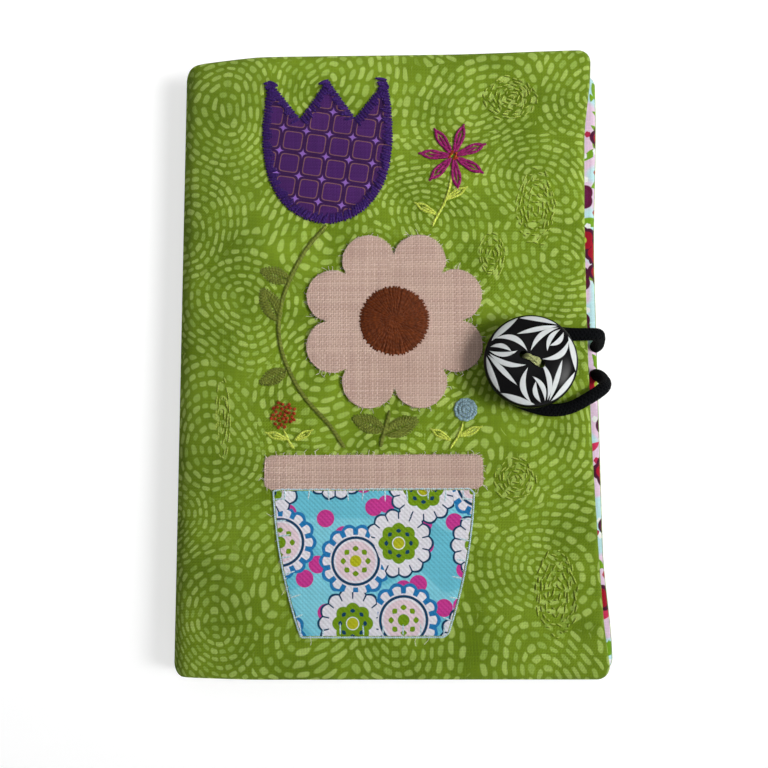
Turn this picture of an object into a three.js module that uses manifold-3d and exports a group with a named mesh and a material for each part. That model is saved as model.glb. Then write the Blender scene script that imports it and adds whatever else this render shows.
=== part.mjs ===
// A cloth needle book, closed and lying on its back cover.
// Millimetres, +Z up. X runs from the spine to the fore-edge, Y from tail to head.
// The origin is the middle of the back cover's underside.
//
// The cover is three layers, printed cotton outside, batting, and a cotton lining inside.
// It runs without a break from the back cover, round the spine, to the front cover.
// Its zones are the back panel, a narrow spine strip, a sloping strip and the front panel.
// Between the spine strip and its neighbours are two soft folds.
// Two felt sheets, folded and sewn into the spine, make four leaves for the needles.
// A sewn button on the front and an elastic loop from the back cover's seam close the book.
import * as THREE from "three";
import { mergeVertices } from "three/addons/utils/BufferGeometryUtils.js";
import Module from "manifold-3d";

const wasm = await Module();
wasm.setup();

// Cover
const BOOK_HEIGHT = 150; // tail to head
const BOOK_WIDTH = 103; // spine to the back cover's fore-edge
const FORE_EDGE_STEP = 3.7; // the back cover reaches this far past the front cover
const COVER_THICKNESS = 3.4; // the three layers together
const COVER_EDGE = 1.5; // rounding of the turned edges
const COVER_CORNER = 3.2; // corner radius seen from above
const CLOTH = 0.5; // one layer of cotton with its turned seam allowance
const LAYER_GAP = 0.3; // clearance between pieces that lie on each other

// Spine and folds
const SPINE_STRIP = 3.6; // height of the strip between the two folds
const BACK_FOLD_INNER = 1.6; // inner radius of the fold beside the back cover
const FRONT_FOLD_INNER = 1.1; // inner radius of the fold beside the front cover
const FRONT_SLOPE = THREE.MathUtils.degToRad(14); // how the front cover falls towards the spine

// Felt leaves
const LEAF_COUNT = 4;
const LEAF_THICKNESS = 2.0;
const LEAF_GAP = 0.4; // between one leaf and the next, and the covers
const LEAF_ROOT = 0.75; // felt thickness where it is sewn down
const ROOT_PITCH = 1.1; // from one leaf to the next at the spine
const FELT_FOLD = 0.8; // felt thickness at the fold of a sheet
const LEAF_HINGE_GAP = 0.5; // room for a leaf to turn at its fold
const LEAF_MARGIN = 6; // the covers reach this far past the leaves at head and tail
const LEAF_SETBACK = 8; // the front cover reaches this far past the leaves at the fore-edge
const PINKING_PITCH = 4; // one tooth of the pinked edge
const PINKING_DEPTH = 2;

// Button
const BUTTON_DIAMETER = 21.6; // 34 ligne
const BUTTON_THICKNESS = 5.0;
const BUTTON_RIM = 1.8; // height of the rim below the dome
const BUTTON_INSET = 15.4; // from the front cover's fore-edge to the button's middle
const BUTTON_Y = -2.8; // a little below the middle of the cover
const BUTTON_TURN = THREE.MathUtils.degToRad(-28); // direction of the line through the two holes
const BUTTON_HOLE = 1.9; // diameter
const BUTTON_HOLE_PITCH = 4.5;
const SHANK_HEIGHT = 4.6; // wound thread under the button
const SHANK_DIAMETER = 3.2;
const SEWING_THREAD = 1.2; // diameter of the bundle through the holes

// Elastic loop
const ELASTIC_DIAMETER = 3;
const ELASTIC_SIDES = 8;
const ELASTIC_STEPS = 56;

// Cut-out cloth sewn on the front cover
const PATCH = 0.5; // cloth thickness
const POT = { x: -4, fromTail: 10, top: 46, base: 33, height: 33, bulge: 2.5 };
const POT_BAND = { width: 51, height: 8, corner: 1.5 };
const DAISY = { x: 1, y: 8, petals: 8, valley: 16, tip: 22, pointsPerPetal: 8 };
const DAISY_EYE = { radius: 8.5, height: 1.6 };
const TULIP = { x: -15, fromHead: 7, width: 30, height: 36, notch: 10 };

// Sizes worked out from those above
const SPINE_X = -BOOK_WIDTH / 2; // outside of the spine
const BACK_FORE_EDGE = BOOK_WIDTH / 2;
const FRONT_FORE_EDGE = BACK_FORE_EDGE - FORE_EDGE_STEP;
const LEAF_STACK = LEAF_COUNT * LEAF_THICKNESS + (LEAF_COUNT + 1) * LEAF_GAP;
const BOOK_THICKNESS = 2 * COVER_THICKNESS + LEAF_STACK;
const SEAM_HEIGHT = COVER_THICKNESS - CLOTH - LAYER_GAP; // where cotton meets lining at an edge
const BACK_FOLD_OUTER = BACK_FOLD_INNER + COVER_THICKNESS;
const FRONT_FOLD_OUTER = FRONT_FOLD_INNER + COVER_THICKNESS;
const BACK_FOLD_CENTRE = new THREE.Vector2(SPINE_X + BACK_FOLD_OUTER, BACK_FOLD_OUTER);
const SPINE_LOW = BACK_FOLD_OUTER;
const SPINE_HIGH = SPINE_LOW + SPINE_STRIP;
const FRONT_FOLD_CENTRE = new THREE.Vector2(SPINE_X + FRONT_FOLD_OUTER, SPINE_HIGH);
const FRONT_SLOPE_RISE = BOOK_THICKNESS - SPINE_HIGH - FRONT_FOLD_OUTER * Math.cos(FRONT_SLOPE);
const FRONT_SLOPE_RUN = FRONT_SLOPE_RISE / Math.tan(FRONT_SLOPE);
const FRONT_FLAT_X = FRONT_FOLD_CENTRE.x - FRONT_FOLD_OUTER * Math.sin(FRONT_SLOPE) + FRONT_SLOPE_RUN;
const BACK_FLAT_X = BACK_FOLD_CENTRE.x;
const SPINE_INSIDE_X = SPINE_X + COVER_THICKNESS;
const BUTTON_X = FRONT_FORE_EDGE - BUTTON_INSET;

// The three layers of the cover, as depths below its outer face
const LAYERS = {
  cloth: [0, CLOTH],
  batting: [CLOTH + LAYER_GAP, SEAM_HEIGHT],
  lining: [SEAM_HEIGHT + LAYER_GAP, COVER_THICKNESS],
};

// Colours
const finish = (color, roughness) => new THREE.MeshStandardMaterial({ color, roughness, metalness: 0 });
const LAYER_MATERIALS = {
  cloth: finish(0x7f9a33, 0.9),
  batting: finish(0xf2efe6, 1),
  lining: finish(0xe9c9da, 0.9),
};
const FELT = finish(0xefe8d8, 1);
const LINEN = finish(0xb69d90, 0.95);
const PURPLE_COTTON = finish(0x4c2e58, 0.9);
const POT_COTTON = finish(0x6fb6cf, 0.9);
const BROWN_WOOL = finish(0x5d2f17, 0.85);
const BUTTON_BLACK = finish(0x151515, 0.25);
const GREEN_THREAD = finish(0x8f9a4a, 0.8);
const ELASTIC_BLACK = finish(0x121214, 0.8);

// Solids

const WELD = 1e-4; // vertices nearer than this are one

function solidOf(geometry) {
  const bare = geometry.clone();
  bare.deleteAttribute("normal");
  bare.deleteAttribute("uv");
  const merged = mergeVertices(bare, WELD);
  return new wasm.Manifold(
    new wasm.Mesh({
      numProp: 3,
      vertProperties: merged.attributes.position.array,
      triVerts: new Uint32Array(merged.index.array),
    }),
  );
}

function geometryOf(solid) {
  const cut = solid.getMesh();
  const geometry = new THREE.BufferGeometry();
  geometry.setAttribute("position", new THREE.BufferAttribute(cut.vertProperties, 3));
  geometry.setIndex(new THREE.BufferAttribute(cut.triVerts, 1));
  geometry.computeVertexNormals();
  return geometry;
}

function mesh(name, geometry, material) {
  const made = new THREE.Mesh(geometry, material);
  made.name = name;
  return made;
}

// A block that spans the whole height of the book, between two X and two Z values.
function block(x0, x1, z0, z1, height = BOOK_HEIGHT) {
  const box = new THREE.BoxGeometry(x1 - x0, height, z1 - z0);
  return box.translate((x0 + x1) / 2, 0, (z0 + z1) / 2);
}

// An X-Z profile drawn out along Y, with its middle at Y 0.
function alongY(profile, length) {
  const drawn = new THREE.ExtrudeGeometry(profile, { depth: length, bevelEnabled: false });
  return drawn.rotateX(Math.PI / 2).translate(0, length / 2, 0);
}

function roundedRectangle(x0, x1, y0, y1, radius) {
  const shape = new THREE.Shape();
  shape.absarc(x1 - radius, y0 + radius, radius, -Math.PI / 2, 0);
  shape.absarc(x1 - radius, y1 - radius, radius, 0, Math.PI / 2);
  shape.absarc(x0 + radius, y1 - radius, radius, Math.PI / 2, Math.PI);
  shape.absarc(x0 + radius, y0 + radius, radius, Math.PI, 1.5 * Math.PI);
  return shape;
}

// Cover panels

// A cover panel with its outer face at Z 0, rounded all round, made smaller by inset on every side.
function panelSlab(x0, x1, inset) {
  const edge = COVER_EDGE - inset;
  const reach = BOOK_HEIGHT / 2 - COVER_EDGE;
  const corner = COVER_CORNER - COVER_EDGE;
  const outline = roundedRectangle(x0 + COVER_EDGE, x1 - COVER_EDGE, -reach, reach, corner);
  const slab = new THREE.ExtrudeGeometry(outline, {
    depth: COVER_THICKNESS - 2 * COVER_EDGE,
    bevelSize: edge,
    bevelThickness: edge,
    bevelSegments: 3,
    curveSegments: 4,
  });
  return solidOf(slab.translate(0, 0, COVER_EDGE));
}

// The cotton tray, its batting and its lining, from the fold at x0 to the fore-edge at x1.
function panelLayers(x0, x1) {
  const hidden = x0 - 2 * COVER_CORNER; // the rounded end of the slab that is cut away
  const keep = (z0, z1) => solidOf(block(x0, x1 + COVER_CORNER, z0, z1, BOOK_HEIGHT + COVER_CORNER));
  const whole = panelSlab(hidden, x1, 0);
  const hollow = panelSlab(hidden, x1, CLOTH);
  const filling = panelSlab(hidden, x1, CLOTH + LAYER_GAP);
  const belowSeam = keep(-COVER_CORNER, SEAM_HEIGHT);
  const aboveSeam = keep(SEAM_HEIGHT + LAYER_GAP, COVER_THICKNESS + COVER_CORNER);
  return {
    cloth: geometryOf(whole.subtract(hollow).intersect(belowSeam)),
    batting: geometryOf(filling.intersect(belowSeam)),
    lining: geometryOf(whole.intersect(aboveSeam)),
  };
}

function coverPanel(side, x0, x1) {
  const panel = new THREE.Group();
  for (const [layer, geometry] of Object.entries(panelLayers(x0, x1)))
    panel.add(mesh(`${side}_${layer}`, geometry, LAYER_MATERIALS[layer]));
  return panel;
}

// Folds and spine strip

const FOLD_STEPS = 5;

// The line that lies depth below the outer face, from the back panel round to the spine strip.
function backFoldLine(depth) {
  const line = new THREE.Path();
  const { x, y } = BACK_FOLD_CENTRE;
  line.absarc(x, y, BACK_FOLD_OUTER - depth, -Math.PI / 2, -Math.PI, true);
  return line.getPoints(FOLD_STEPS);
}

// The same from the spine strip up to the foot of the slope.
function frontFoldLine(depth) {
  const line = new THREE.Path();
  const { x, y } = FRONT_FOLD_CENTRE;
  line.absarc(x, y, FRONT_FOLD_OUTER - depth, Math.PI, Math.PI / 2 + FRONT_SLOPE, true);
  return line.getPoints(FOLD_STEPS);
}

// The same from the fold up the slope to the front panel.
function frontSlopeLine(depth) {
  const uphill = new THREE.Vector2(Math.cos(FRONT_SLOPE), Math.sin(FRONT_SLOPE));
  const foot = frontFoldLine(depth).at(-1).addScaledVector(uphill, LAYER_GAP);
  const top = new THREE.Vector2(FRONT_FLAT_X, BOOK_THICKNESS - depth / Math.cos(FRONT_SLOPE));
  return [foot, top];
}

function stripLayers(name, lineAt) {
  const strip = new THREE.Group();
  for (const [layer, [outer, inner]] of Object.entries(LAYERS)) {
    const profile = new THREE.Shape([...lineAt(outer), ...lineAt(inner).reverse()]);
    strip.add(mesh(`${name}_${layer}`, alongY(profile, BOOK_HEIGHT - COVER_EDGE), LAYER_MATERIALS[layer]));
  }
  return strip;
}

function spineStrip() {
  const strip = new THREE.Group();
  for (const [layer, [outer, inner]] of Object.entries(LAYERS)) {
    const low = SPINE_LOW + LAYER_GAP;
    const high = SPINE_HIGH - LAYER_GAP;
    const geometry = block(SPINE_X + outer, SPINE_X + inner, low, high, BOOK_HEIGHT - COVER_EDGE);
    strip.add(mesh(`spine_${layer}`, geometry, LAYER_MATERIALS[layer]));
  }
  return strip;
}

// Felt leaves

const LEAF_HEIGHT = BOOK_HEIGHT - 2 * LEAF_MARGIN;
const LEAF_FORE_EDGE = FRONT_FORE_EDGE - LEAF_SETBACK;
const SPINE_MIDDLE = (SPINE_LOW + SPINE_HIGH) / 2;

// Height of a leaf's middle where it is sewn down, and where it lies flat between the covers.
const rootHeight = (leaf) => SPINE_MIDDLE + (leaf - (LEAF_COUNT - 1) / 2) * ROOT_PITCH;
const flatHeight = (leaf) =>
  COVER_THICKNESS + LEAF_GAP + LEAF_THICKNESS / 2 + leaf * (LEAF_THICKNESS + LEAF_GAP);

// Each folded sheet lies inside the one before it: sheet 0 holds the first and last leaf.
const sheetOf = (leaf) => Math.min(leaf, LEAF_COUNT - 1 - leaf);
const sheetFoldX = (sheet) => SPINE_INSIDE_X + LAYER_GAP + sheet * (FELT_FOLD + LAYER_GAP);
const leafRootX = (leaf) => sheetFoldX(sheetOf(leaf)) + FELT_FOLD + LEAF_HINGE_GAP;

// Zigzag points from one corner towards the next, with the teeth cut to the left of the way.
function pinkedEdge(from, to) {
  const way = new THREE.Vector2().subVectors(to, from);
  const teeth = Math.max(1, Math.round(way.length() / PINKING_PITCH));
  const inward = new THREE.Vector2(-way.y, way.x).setLength(PINKING_DEPTH);
  const points = [];
  for (let tooth = 0; tooth < teeth; tooth++) {
    points.push(from.clone().addScaledVector(way, (tooth + 0.25) / teeth));
    points.push(from.clone().addScaledVector(way, (tooth + 0.75) / teeth).add(inward));
  }
  points.pop(); // the corner itself is cut straight across
  return points;
}

function leafOutline(rootX) {
  const half = LEAF_HEIGHT / 2;
  const tailRoot = new THREE.Vector2(rootX, -half);
  const tailFore = new THREE.Vector2(LEAF_FORE_EDGE, -half);
  const headFore = new THREE.Vector2(LEAF_FORE_EDGE, half);
  const headRoot = new THREE.Vector2(rootX, half);
  const tail = pinkedEdge(tailRoot, tailFore);
  const fore = pinkedEdge(tailFore, headFore);
  const head = pinkedEdge(headFore, headRoot);
  return new THREE.Shape([tailRoot, ...tail, ...fore, ...head, headRoot]);
}

// The leaf is thin where it is sewn down and spreads to its full thickness past the slope.
function leafProfile(leaf) {
  const rootX = leafRootX(leaf);
  const root = rootHeight(leaf);
  const flat = flatHeight(leaf);
  const corners = [
    [rootX, root - LEAF_ROOT / 2],
    [FRONT_FLAT_X, flat - LEAF_THICKNESS / 2],
    [LEAF_FORE_EDGE, flat - LEAF_THICKNESS / 2],
    [LEAF_FORE_EDGE, flat + LEAF_THICKNESS / 2],
    [FRONT_FLAT_X, flat + LEAF_THICKNESS / 2],
    [rootX, root + LEAF_ROOT / 2],
  ];
  return new THREE.Shape(corners.map(([x, z]) => new THREE.Vector2(x, z)));
}

function feltLeaf(leaf) {
  const felt = solidOf(alongY(leafProfile(leaf), BOOK_HEIGHT));
  const outline = leafOutline(leafRootX(leaf));
  const cutter = solidOf(new THREE.ExtrudeGeometry(outline, { depth: BOOK_THICKNESS, bevelEnabled: false }));
  return mesh(`felt_leaf_${leaf + 1}`, geometryOf(felt.intersect(cutter)), FELT);
}

function feltFold(sheet) {
  const x = sheetFoldX(sheet);
  const low = rootHeight(sheet) - LEAF_ROOT / 2;
  const high = rootHeight(LEAF_COUNT - 1 - sheet) + LEAF_ROOT / 2;
  return mesh(`felt_fold_${sheet + 1}`, block(x, x + FELT_FOLD, low, high, LEAF_HEIGHT), FELT);
}

// Button, its thread and the elastic loop

// A round button with a low dome, a soft rim and a dished back. Its underside is at Z 0.
function button() {
  const radius = BUTTON_DIAMETER / 2;
  const backRound = 0.6;
  const dish = 0.4;
  const dome = new THREE.EllipseCurve(0, BUTTON_RIM, radius, BUTTON_THICKNESS - BUTTON_RIM, 0, Math.PI / 2);
  const back = [
    new THREE.Vector2(0, dish),
    new THREE.Vector2(radius * 0.55, dish),
    new THREE.Vector2(radius * 0.75, 0),
    new THREE.Vector2(radius - backRound, 0),
    new THREE.Vector2(radius - backRound * 0.3, backRound * 0.3),
    new THREE.Vector2(radius, backRound),
  ];
  const front = dome.getPoints(10);
  front[front.length - 1].x = 0;
  const turned = solidOf(new THREE.LatheGeometry([...back, ...front], 40).rotateX(Math.PI / 2));
  const holes = [-1, 1].map((side) => {
    const drill = new THREE.CylinderGeometry(BUTTON_HOLE / 2, BUTTON_HOLE / 2, 3 * BUTTON_THICKNESS, 14);
    return solidOf(drill.rotateX(Math.PI / 2).translate((side * BUTTON_HOLE_PITCH) / 2, 0, 0));
  });
  return geometryOf(holes.reduce((body, hole) => body.subtract(hole), turned));
}

// The bundle of thread that comes up one hole, crosses the dome and goes down the other.
function sewingThread() {
  const side = BUTTON_HOLE_PITCH / 2;
  const over = BUTTON_THICKNESS + SEWING_THREAD / 2 + LAYER_GAP;
  const route = new THREE.CatmullRomCurve3(
    [
      new THREE.Vector3(-side, 0, 0),
      new THREE.Vector3(-side, 0, over * 0.5),
      new THREE.Vector3(-side * 0.95, 0, over * 0.9),
      new THREE.Vector3(-side * 0.5, 0, over),
      new THREE.Vector3(side * 0.5, 0, over),
      new THREE.Vector3(side * 0.95, 0, over * 0.9),
      new THREE.Vector3(side, 0, over * 0.5),
      new THREE.Vector3(side, 0, 0),
    ],
    false,
    "centripetal",
  );
  return tubeAlong(route, SEWING_THREAD, 8, 20);
}

function tubeAlong(route, diameter, sides, steps) {
  const section = new THREE.Shape();
  section.absarc(0, 0, diameter / 2, 0, 2 * Math.PI);
  const corners = section.getSpacedPoints(sides).slice(0, sides);
  const round = new THREE.Shape(corners);
  return new THREE.ExtrudeGeometry(round, { steps, extrudePath: route, bevelEnabled: false });
}

// The wound thread that holds the button off the cloth, waisted between two flared ends.
function buttonShank() {
  const radius = SHANK_DIAMETER / 2;
  const top = SHANK_HEIGHT - LAYER_GAP;
  const profile = [
    [0, LAYER_GAP],
    [radius * 1.25, LAYER_GAP],
    [radius, LAYER_GAP + radius * 0.4],
    [radius * 0.9, top / 2],
    [radius, top - radius * 0.4],
    [radius * 1.2, top],
    [0, top],
  ];
  const points = profile.map(([r, z]) => new THREE.Vector2(r, z));
  return new THREE.LatheGeometry(points, 12).rotateX(Math.PI / 2);
}

function sewnButton() {
  const sewn = new THREE.Group();
  sewn.position.set(BUTTON_X, BUTTON_Y, BOOK_THICKNESS);
  sewn.add(mesh("button_shank", buttonShank(), GREEN_THREAD));
  const disc = new THREE.Group();
  disc.position.z = SHANK_HEIGHT;
  disc.rotation.z = BUTTON_TURN;
  disc.add(mesh("button", button(), BUTTON_BLACK));
  disc.add(mesh("button_thread", sewingThread(), GREEN_THREAD));
  sewn.add(disc);
  return sewn;
}

// The way of the elastic's middle: out of the back cover's seam, round the button and back into the seam.
// Its x counts from the back cover's fore-edge.
const ELASTIC_ROUTE = [
  [-1.7, 3.7, 1.7],
  [-0.8, 3.8, 2.8],
  [-0.4, 4.0, 4.8],
  [-0.9, 4.2, 9.2],
  [-1.7, 4.3, 14.0],
  [-2.8, 4.3, 17.6],
  [-5.8, 4.2, 18.6],
  [-9.7, 4.3, 18.6],
  [-14.9, 5.0, 18.6],
  [-20.9, 4.4, 18.6],
  [-25.7, 0.9, 18.6],
  [-27.2, -4.6, 18.6],
  [-25.1, -9.2, 18.6],
  [-20.5, -12.0, 18.6],
  [-14.6, -13.6, 18.6],
  [-9.8, -13.1, 18.6],
  [-5.2, -10.8, 18.6],
  [-1.8, -8.5, 16.6],
  [-0.3, -6.8, 12.4],
  [0.1, -5.2, 8.0],
  [-0.2, -3.8, 4.8],
  [-0.8, -3.2, 2.8],
  [-1.7, -2.9, 1.7],
];

function elasticLoop() {
  const points = ELASTIC_ROUTE.map(([x, y, z]) => new THREE.Vector3(BACK_FORE_EDGE + x, y, z));
  const route = new THREE.CatmullRomCurve3(points, false, "centripetal");
  const cord = solidOf(tubeAlong(route, ELASTIC_DIAMETER, ELASTIC_SIDES, ELASTIC_STEPS));
  const seamed = cord.subtract(panelSlab(SPINE_X, BACK_FORE_EDGE, -LAYER_GAP));
  return mesh("elastic_loop", geometryOf(seamed), ELASTIC_BLACK);
}

// Cloth shapes sewn on the front cover

function cutCloth(name, outline, material, x, y) {
  const cloth = new THREE.ExtrudeGeometry(outline, { depth: PATCH, bevelEnabled: false, curveSegments: 8 });
  const patch = mesh(name, cloth, material);
  patch.position.set(x, y, LAYER_GAP);
  return patch;
}

function potOutline() {
  const { top, base, height, bulge } = POT;
  const shape = new THREE.Shape();
  shape.moveTo(-base / 2, 0);
  shape.lineTo(base / 2, 0);
  shape.quadraticCurveTo((base + top) / 4 + bulge, height / 2, top / 2, height);
  shape.lineTo(-top / 2, height);
  shape.quadraticCurveTo(-(base + top) / 4 - bulge, height / 2, -base / 2, 0);
  return shape;
}

function potBandOutline() {
  const { width, height, corner } = POT_BAND;
  return roundedRectangle(-width / 2, width / 2, 0, height, corner);
}

function daisyOutline() {
  const { petals, valley, tip, pointsPerPetal } = DAISY;
  const roundness = 0.6; // below 1 the petals are blunt
  const count = petals * pointsPerPetal;
  const points = [];
  for (let i = 0; i < count; i++) {
    const angle = (2 * Math.PI * i) / count;
    const swell = Math.abs(Math.sin((angle * petals) / 2)) ** roundness;
    const radius = valley + (tip - valley) * swell;
    points.push(new THREE.Vector2(radius * Math.cos(angle), radius * Math.sin(angle)));
  }
  return new THREE.Shape(points);
}

function tulipOutline() {
  const { width, height, notch } = TULIP;
  const half = width / 2;
  const shape = new THREE.Shape();
  shape.moveTo(0, 0);
  shape.bezierCurveTo(half * 1.1, height * 0.05, half * 1.15, height * 0.55, half * 0.95, height);
  shape.lineTo(half * 0.45, height - notch);
  shape.lineTo(0, height);
  shape.lineTo(-half * 0.45, height - notch);
  shape.lineTo(-half * 0.95, height);
  shape.bezierCurveTo(-half * 1.15, height * 0.55, -half * 1.1, height * 0.05, 0, 0);
  return shape;
}

// A low dome of close stitches in the middle of the daisy.
function daisyEye() {
  const { radius, height } = DAISY_EYE;
  const dome = new THREE.EllipseCurve(0, 0, radius, height, 0, Math.PI / 2).getPoints(5);
  dome[dome.length - 1].x = 0;
  const profile = [new THREE.Vector2(0, 0), ...dome];
  return new THREE.LatheGeometry(profile, 28).rotateX(Math.PI / 2);
}

function sewnPicture() {
  const picture = new THREE.Group();
  picture.position.z = BOOK_THICKNESS;
  const potFoot = POT.fromTail - BOOK_HEIGHT / 2;
  const tulipFoot = BOOK_HEIGHT / 2 - TULIP.fromHead - TULIP.height;
  picture.add(cutCloth("pot_patch", potOutline(), POT_COTTON, POT.x, potFoot));
  picture.add(cutCloth("pot_band_patch", potBandOutline(), LINEN, POT.x, potFoot + POT.height + LAYER_GAP));
  picture.add(cutCloth("daisy_patch", daisyOutline(), LINEN, DAISY.x, DAISY.y));
  picture.add(cutCloth("tulip_patch", tulipOutline(), PURPLE_COTTON, TULIP.x, tulipFoot));
  const eye = mesh("daisy_eye", daisyEye(), BROWN_WOOL);
  eye.position.set(DAISY.x, DAISY.y, 2 * LAYER_GAP + PATCH);
  picture.add(eye);
  return picture;
}

// Hinge lines

// A soft fold opens about the line that turns the moving end of the cover's middle layer
// to the place where it lies once the fold is flat, so the cloth keeps its length.
function foldAxis(moving, flat, turn) {
  const way = new THREE.Vector2().subVectors(flat, moving);
  const across = new THREE.Vector2(-way.y, way.x).multiplyScalar(0.5 / Math.tan(turn / 2));
  return new THREE.Vector2().addVectors(moving, flat).multiplyScalar(0.5).add(across);
}

function hingeLines() {
  const middle = COVER_THICKNESS / 2;
  const backBend = ((BACK_FOLD_OUTER - middle) * Math.PI) / 2;
  const spineLow = new THREE.Vector2(SPINE_X + middle, SPINE_LOW);
  const spineFlat = new THREE.Vector2(BACK_FLAT_X - backBend, middle);
  const frontTurn = Math.PI / 2 - FRONT_SLOPE;
  const slopeFoot = frontFoldLine(middle).at(-1);
  const slopeFlat = new THREE.Vector2(SPINE_X + middle, SPINE_HIGH + (FRONT_FOLD_OUTER - middle) * frontTurn);
  const leaves = Array.from({ length: LEAF_COUNT }, (_, leaf) => [leafRootX(leaf), rootHeight(leaf)]);
  return {
    back_fold: foldAxis(spineLow, spineFlat, Math.PI / 2).toArray(),
    front_fold: foldAxis(slopeFoot, slopeFlat, frontTurn).toArray(),
    front_crease: [FRONT_FLAT_X, BOOK_THICKNESS],
    felt_leaves: leaves,
    loop_seam: [BACK_FORE_EDGE, COVER_THICKNESS / 2],
    button_foot: [BUTTON_X, BOOK_THICKNESS],
  };
}

// The book

const book = new THREE.Group();
book.name = "needle_book";
book.userData.hinges = hingeLines(); // X-Z points of lines along Y

book.add(coverPanel("back", BACK_FLAT_X + LAYER_GAP, BACK_FORE_EDGE));

const front = coverPanel("front", FRONT_FLAT_X + LAYER_GAP, FRONT_FORE_EDGE);
front.rotation.x = Math.PI; // the front is the same panel with its outer face up
front.position.z = BOOK_THICKNESS;
book.add(front);

book.add(stripLayers("back_fold", backFoldLine));
book.add(spineStrip());
book.add(stripLayers("front_fold", frontFoldLine));
book.add(stripLayers("front_slope", frontSlopeLine));

for (let sheet = 0; sheet < LEAF_COUNT / 2; sheet++) book.add(feltFold(sheet));
for (let leaf = 0; leaf < LEAF_COUNT; leaf++) book.add(feltLeaf(leaf));

book.add(sewnPicture());
book.add(sewnButton());
book.add(elasticLoop());

export default book;
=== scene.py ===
"""Looks of a cloth needle book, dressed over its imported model.

Shapes are in millimetres up to the point where a vertex is placed, and MM makes metres of them.
The camera, the lamps and the finishes are in metres. x runs from the spine to the fore-edge, y from
tail to head, z up from the back cover's underside.
"""

import math
import random

import bmesh
import bpy
from mathutils import Matrix, Vector, noise


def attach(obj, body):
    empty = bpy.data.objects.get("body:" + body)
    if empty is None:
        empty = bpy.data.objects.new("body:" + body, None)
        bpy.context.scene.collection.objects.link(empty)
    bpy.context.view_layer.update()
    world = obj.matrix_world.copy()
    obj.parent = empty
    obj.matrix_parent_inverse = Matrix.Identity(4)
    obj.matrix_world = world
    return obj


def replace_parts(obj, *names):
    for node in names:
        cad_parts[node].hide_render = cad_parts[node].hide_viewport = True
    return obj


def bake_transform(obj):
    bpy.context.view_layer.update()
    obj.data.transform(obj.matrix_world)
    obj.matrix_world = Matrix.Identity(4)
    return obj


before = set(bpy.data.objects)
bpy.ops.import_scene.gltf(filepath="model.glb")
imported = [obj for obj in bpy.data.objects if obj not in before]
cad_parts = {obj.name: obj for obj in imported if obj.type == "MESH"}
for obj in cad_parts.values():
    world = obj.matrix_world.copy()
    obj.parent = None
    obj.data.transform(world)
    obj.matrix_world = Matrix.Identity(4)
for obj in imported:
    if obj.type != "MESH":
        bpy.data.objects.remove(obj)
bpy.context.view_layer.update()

MM = 0.001
FULL_TURN = 2 * math.pi

# The angle in degrees past which two faces meet in a hard edge
CLOTH_EDGE = 50
THREAD_EDGE = 80
BUTTON_EDGE = 38

# The camera, its turn in degrees
LENS = 50.28
SENSOR = 36.0
CAMERA_PLACE = (0.00375, -0.04045, 0.2673)
CAMERA_TURN = (7.6, 1.23, -0.22)

# Each lamp's name, place, size, power, aim and spread in degrees
LAMPS = [
    ("window", (0.60, -0.05, 0.66), 0.45, 0.65, (-0.04, 0.09, 0.0), 38),
    ("low window", (0.15, -0.45, 0.12), 0.25, 0.3, (0.0, 0.0, 0.0), 180),
    ("ceiling", (0.0, 0.15, 0.60), 0.50, 0.6, (0.0, 0.0, 0.0), 180),
]
SKY_LIGHT = 0.18
FLOOR_GLOW = 0.60
FAR_FLOOR_GLOW = 0.96

# The book, with the x and z of the middle of each fold
HALF_HEIGHT = 75.0
SPINE_X = -51.5
BACK_FORE_EDGE = 51.5
SPINE_ROUND = 2.7
FRONT_FORE_EDGE = 47.8
BOOK_THICKNESS = 16.8
COVER = 3.4
EDGE_ROUND = 1.5
CORNER = 3.2
SPINE_MIDDLE = 6.8
BACK_FOLD = (-46.5, 5.0)
BACK_FOLD_RADIUS = 5.0
FRONT_FOLD = (-47.0, 8.6)
FRONT_FOLD_RADIUS = 4.5
SLOPE = math.radians(14)
SLOPE_RISE = BOOK_THICKNESS - FRONT_FOLD[1] - FRONT_FOLD_RADIUS / math.cos(SLOPE)
CREASE_X = round(FRONT_FOLD[0] + SLOPE_RISE / math.tan(SLOPE), 4)
CREASE_SOFTNESS = 1.8
CREASE_HALF = 3.8
SLOPE_MIDDLE = -40.4
SHOULDER_START = 0.8
SHOULDER_SPAN = 9.6
SHOULDER_DEPTH = 0.55
COTTON = 0.4
BATTING_DEPTH = 0.95
BATTING = 1.5
BATTING_INSET = 1.6
BOW_START = -10.0
TUCK_HEIGHT = 11.0

# How far the outer cotton and the lining go on past the place where an edge begins to turn
COTTON_REACH = 5.36
LINING_REACH = 3.15
EDGE_COLUMNS = 10

# The felt leaves: the x and z of their roots, the heights at which they lie flat, and their sizes
LEAF_ROOTS = [(-46.5, 5.15), (-45.4, 6.25), (-45.4, 7.35), (-46.5, 8.45)]
LEAF_FLATS = [4.8, 7.2, 9.6, 12.0]
LEAF_TUCK = 0.35
LEAF_FORE_EDGE = 39.8
LEAF_HALF_HEIGHT = 69.0
LEAF_FELT = 1.8
LEAF_ROOT_FELT = 0.75
PINKING_DEPTH = 2.0
PINKING_PITCH = 2.02
PINKING_MARGIN = 3.6
GUTTER_GAP = 0.2
GUTTER_DEPTH = 1.1
GUTTER_TURN = 0.7

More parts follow.
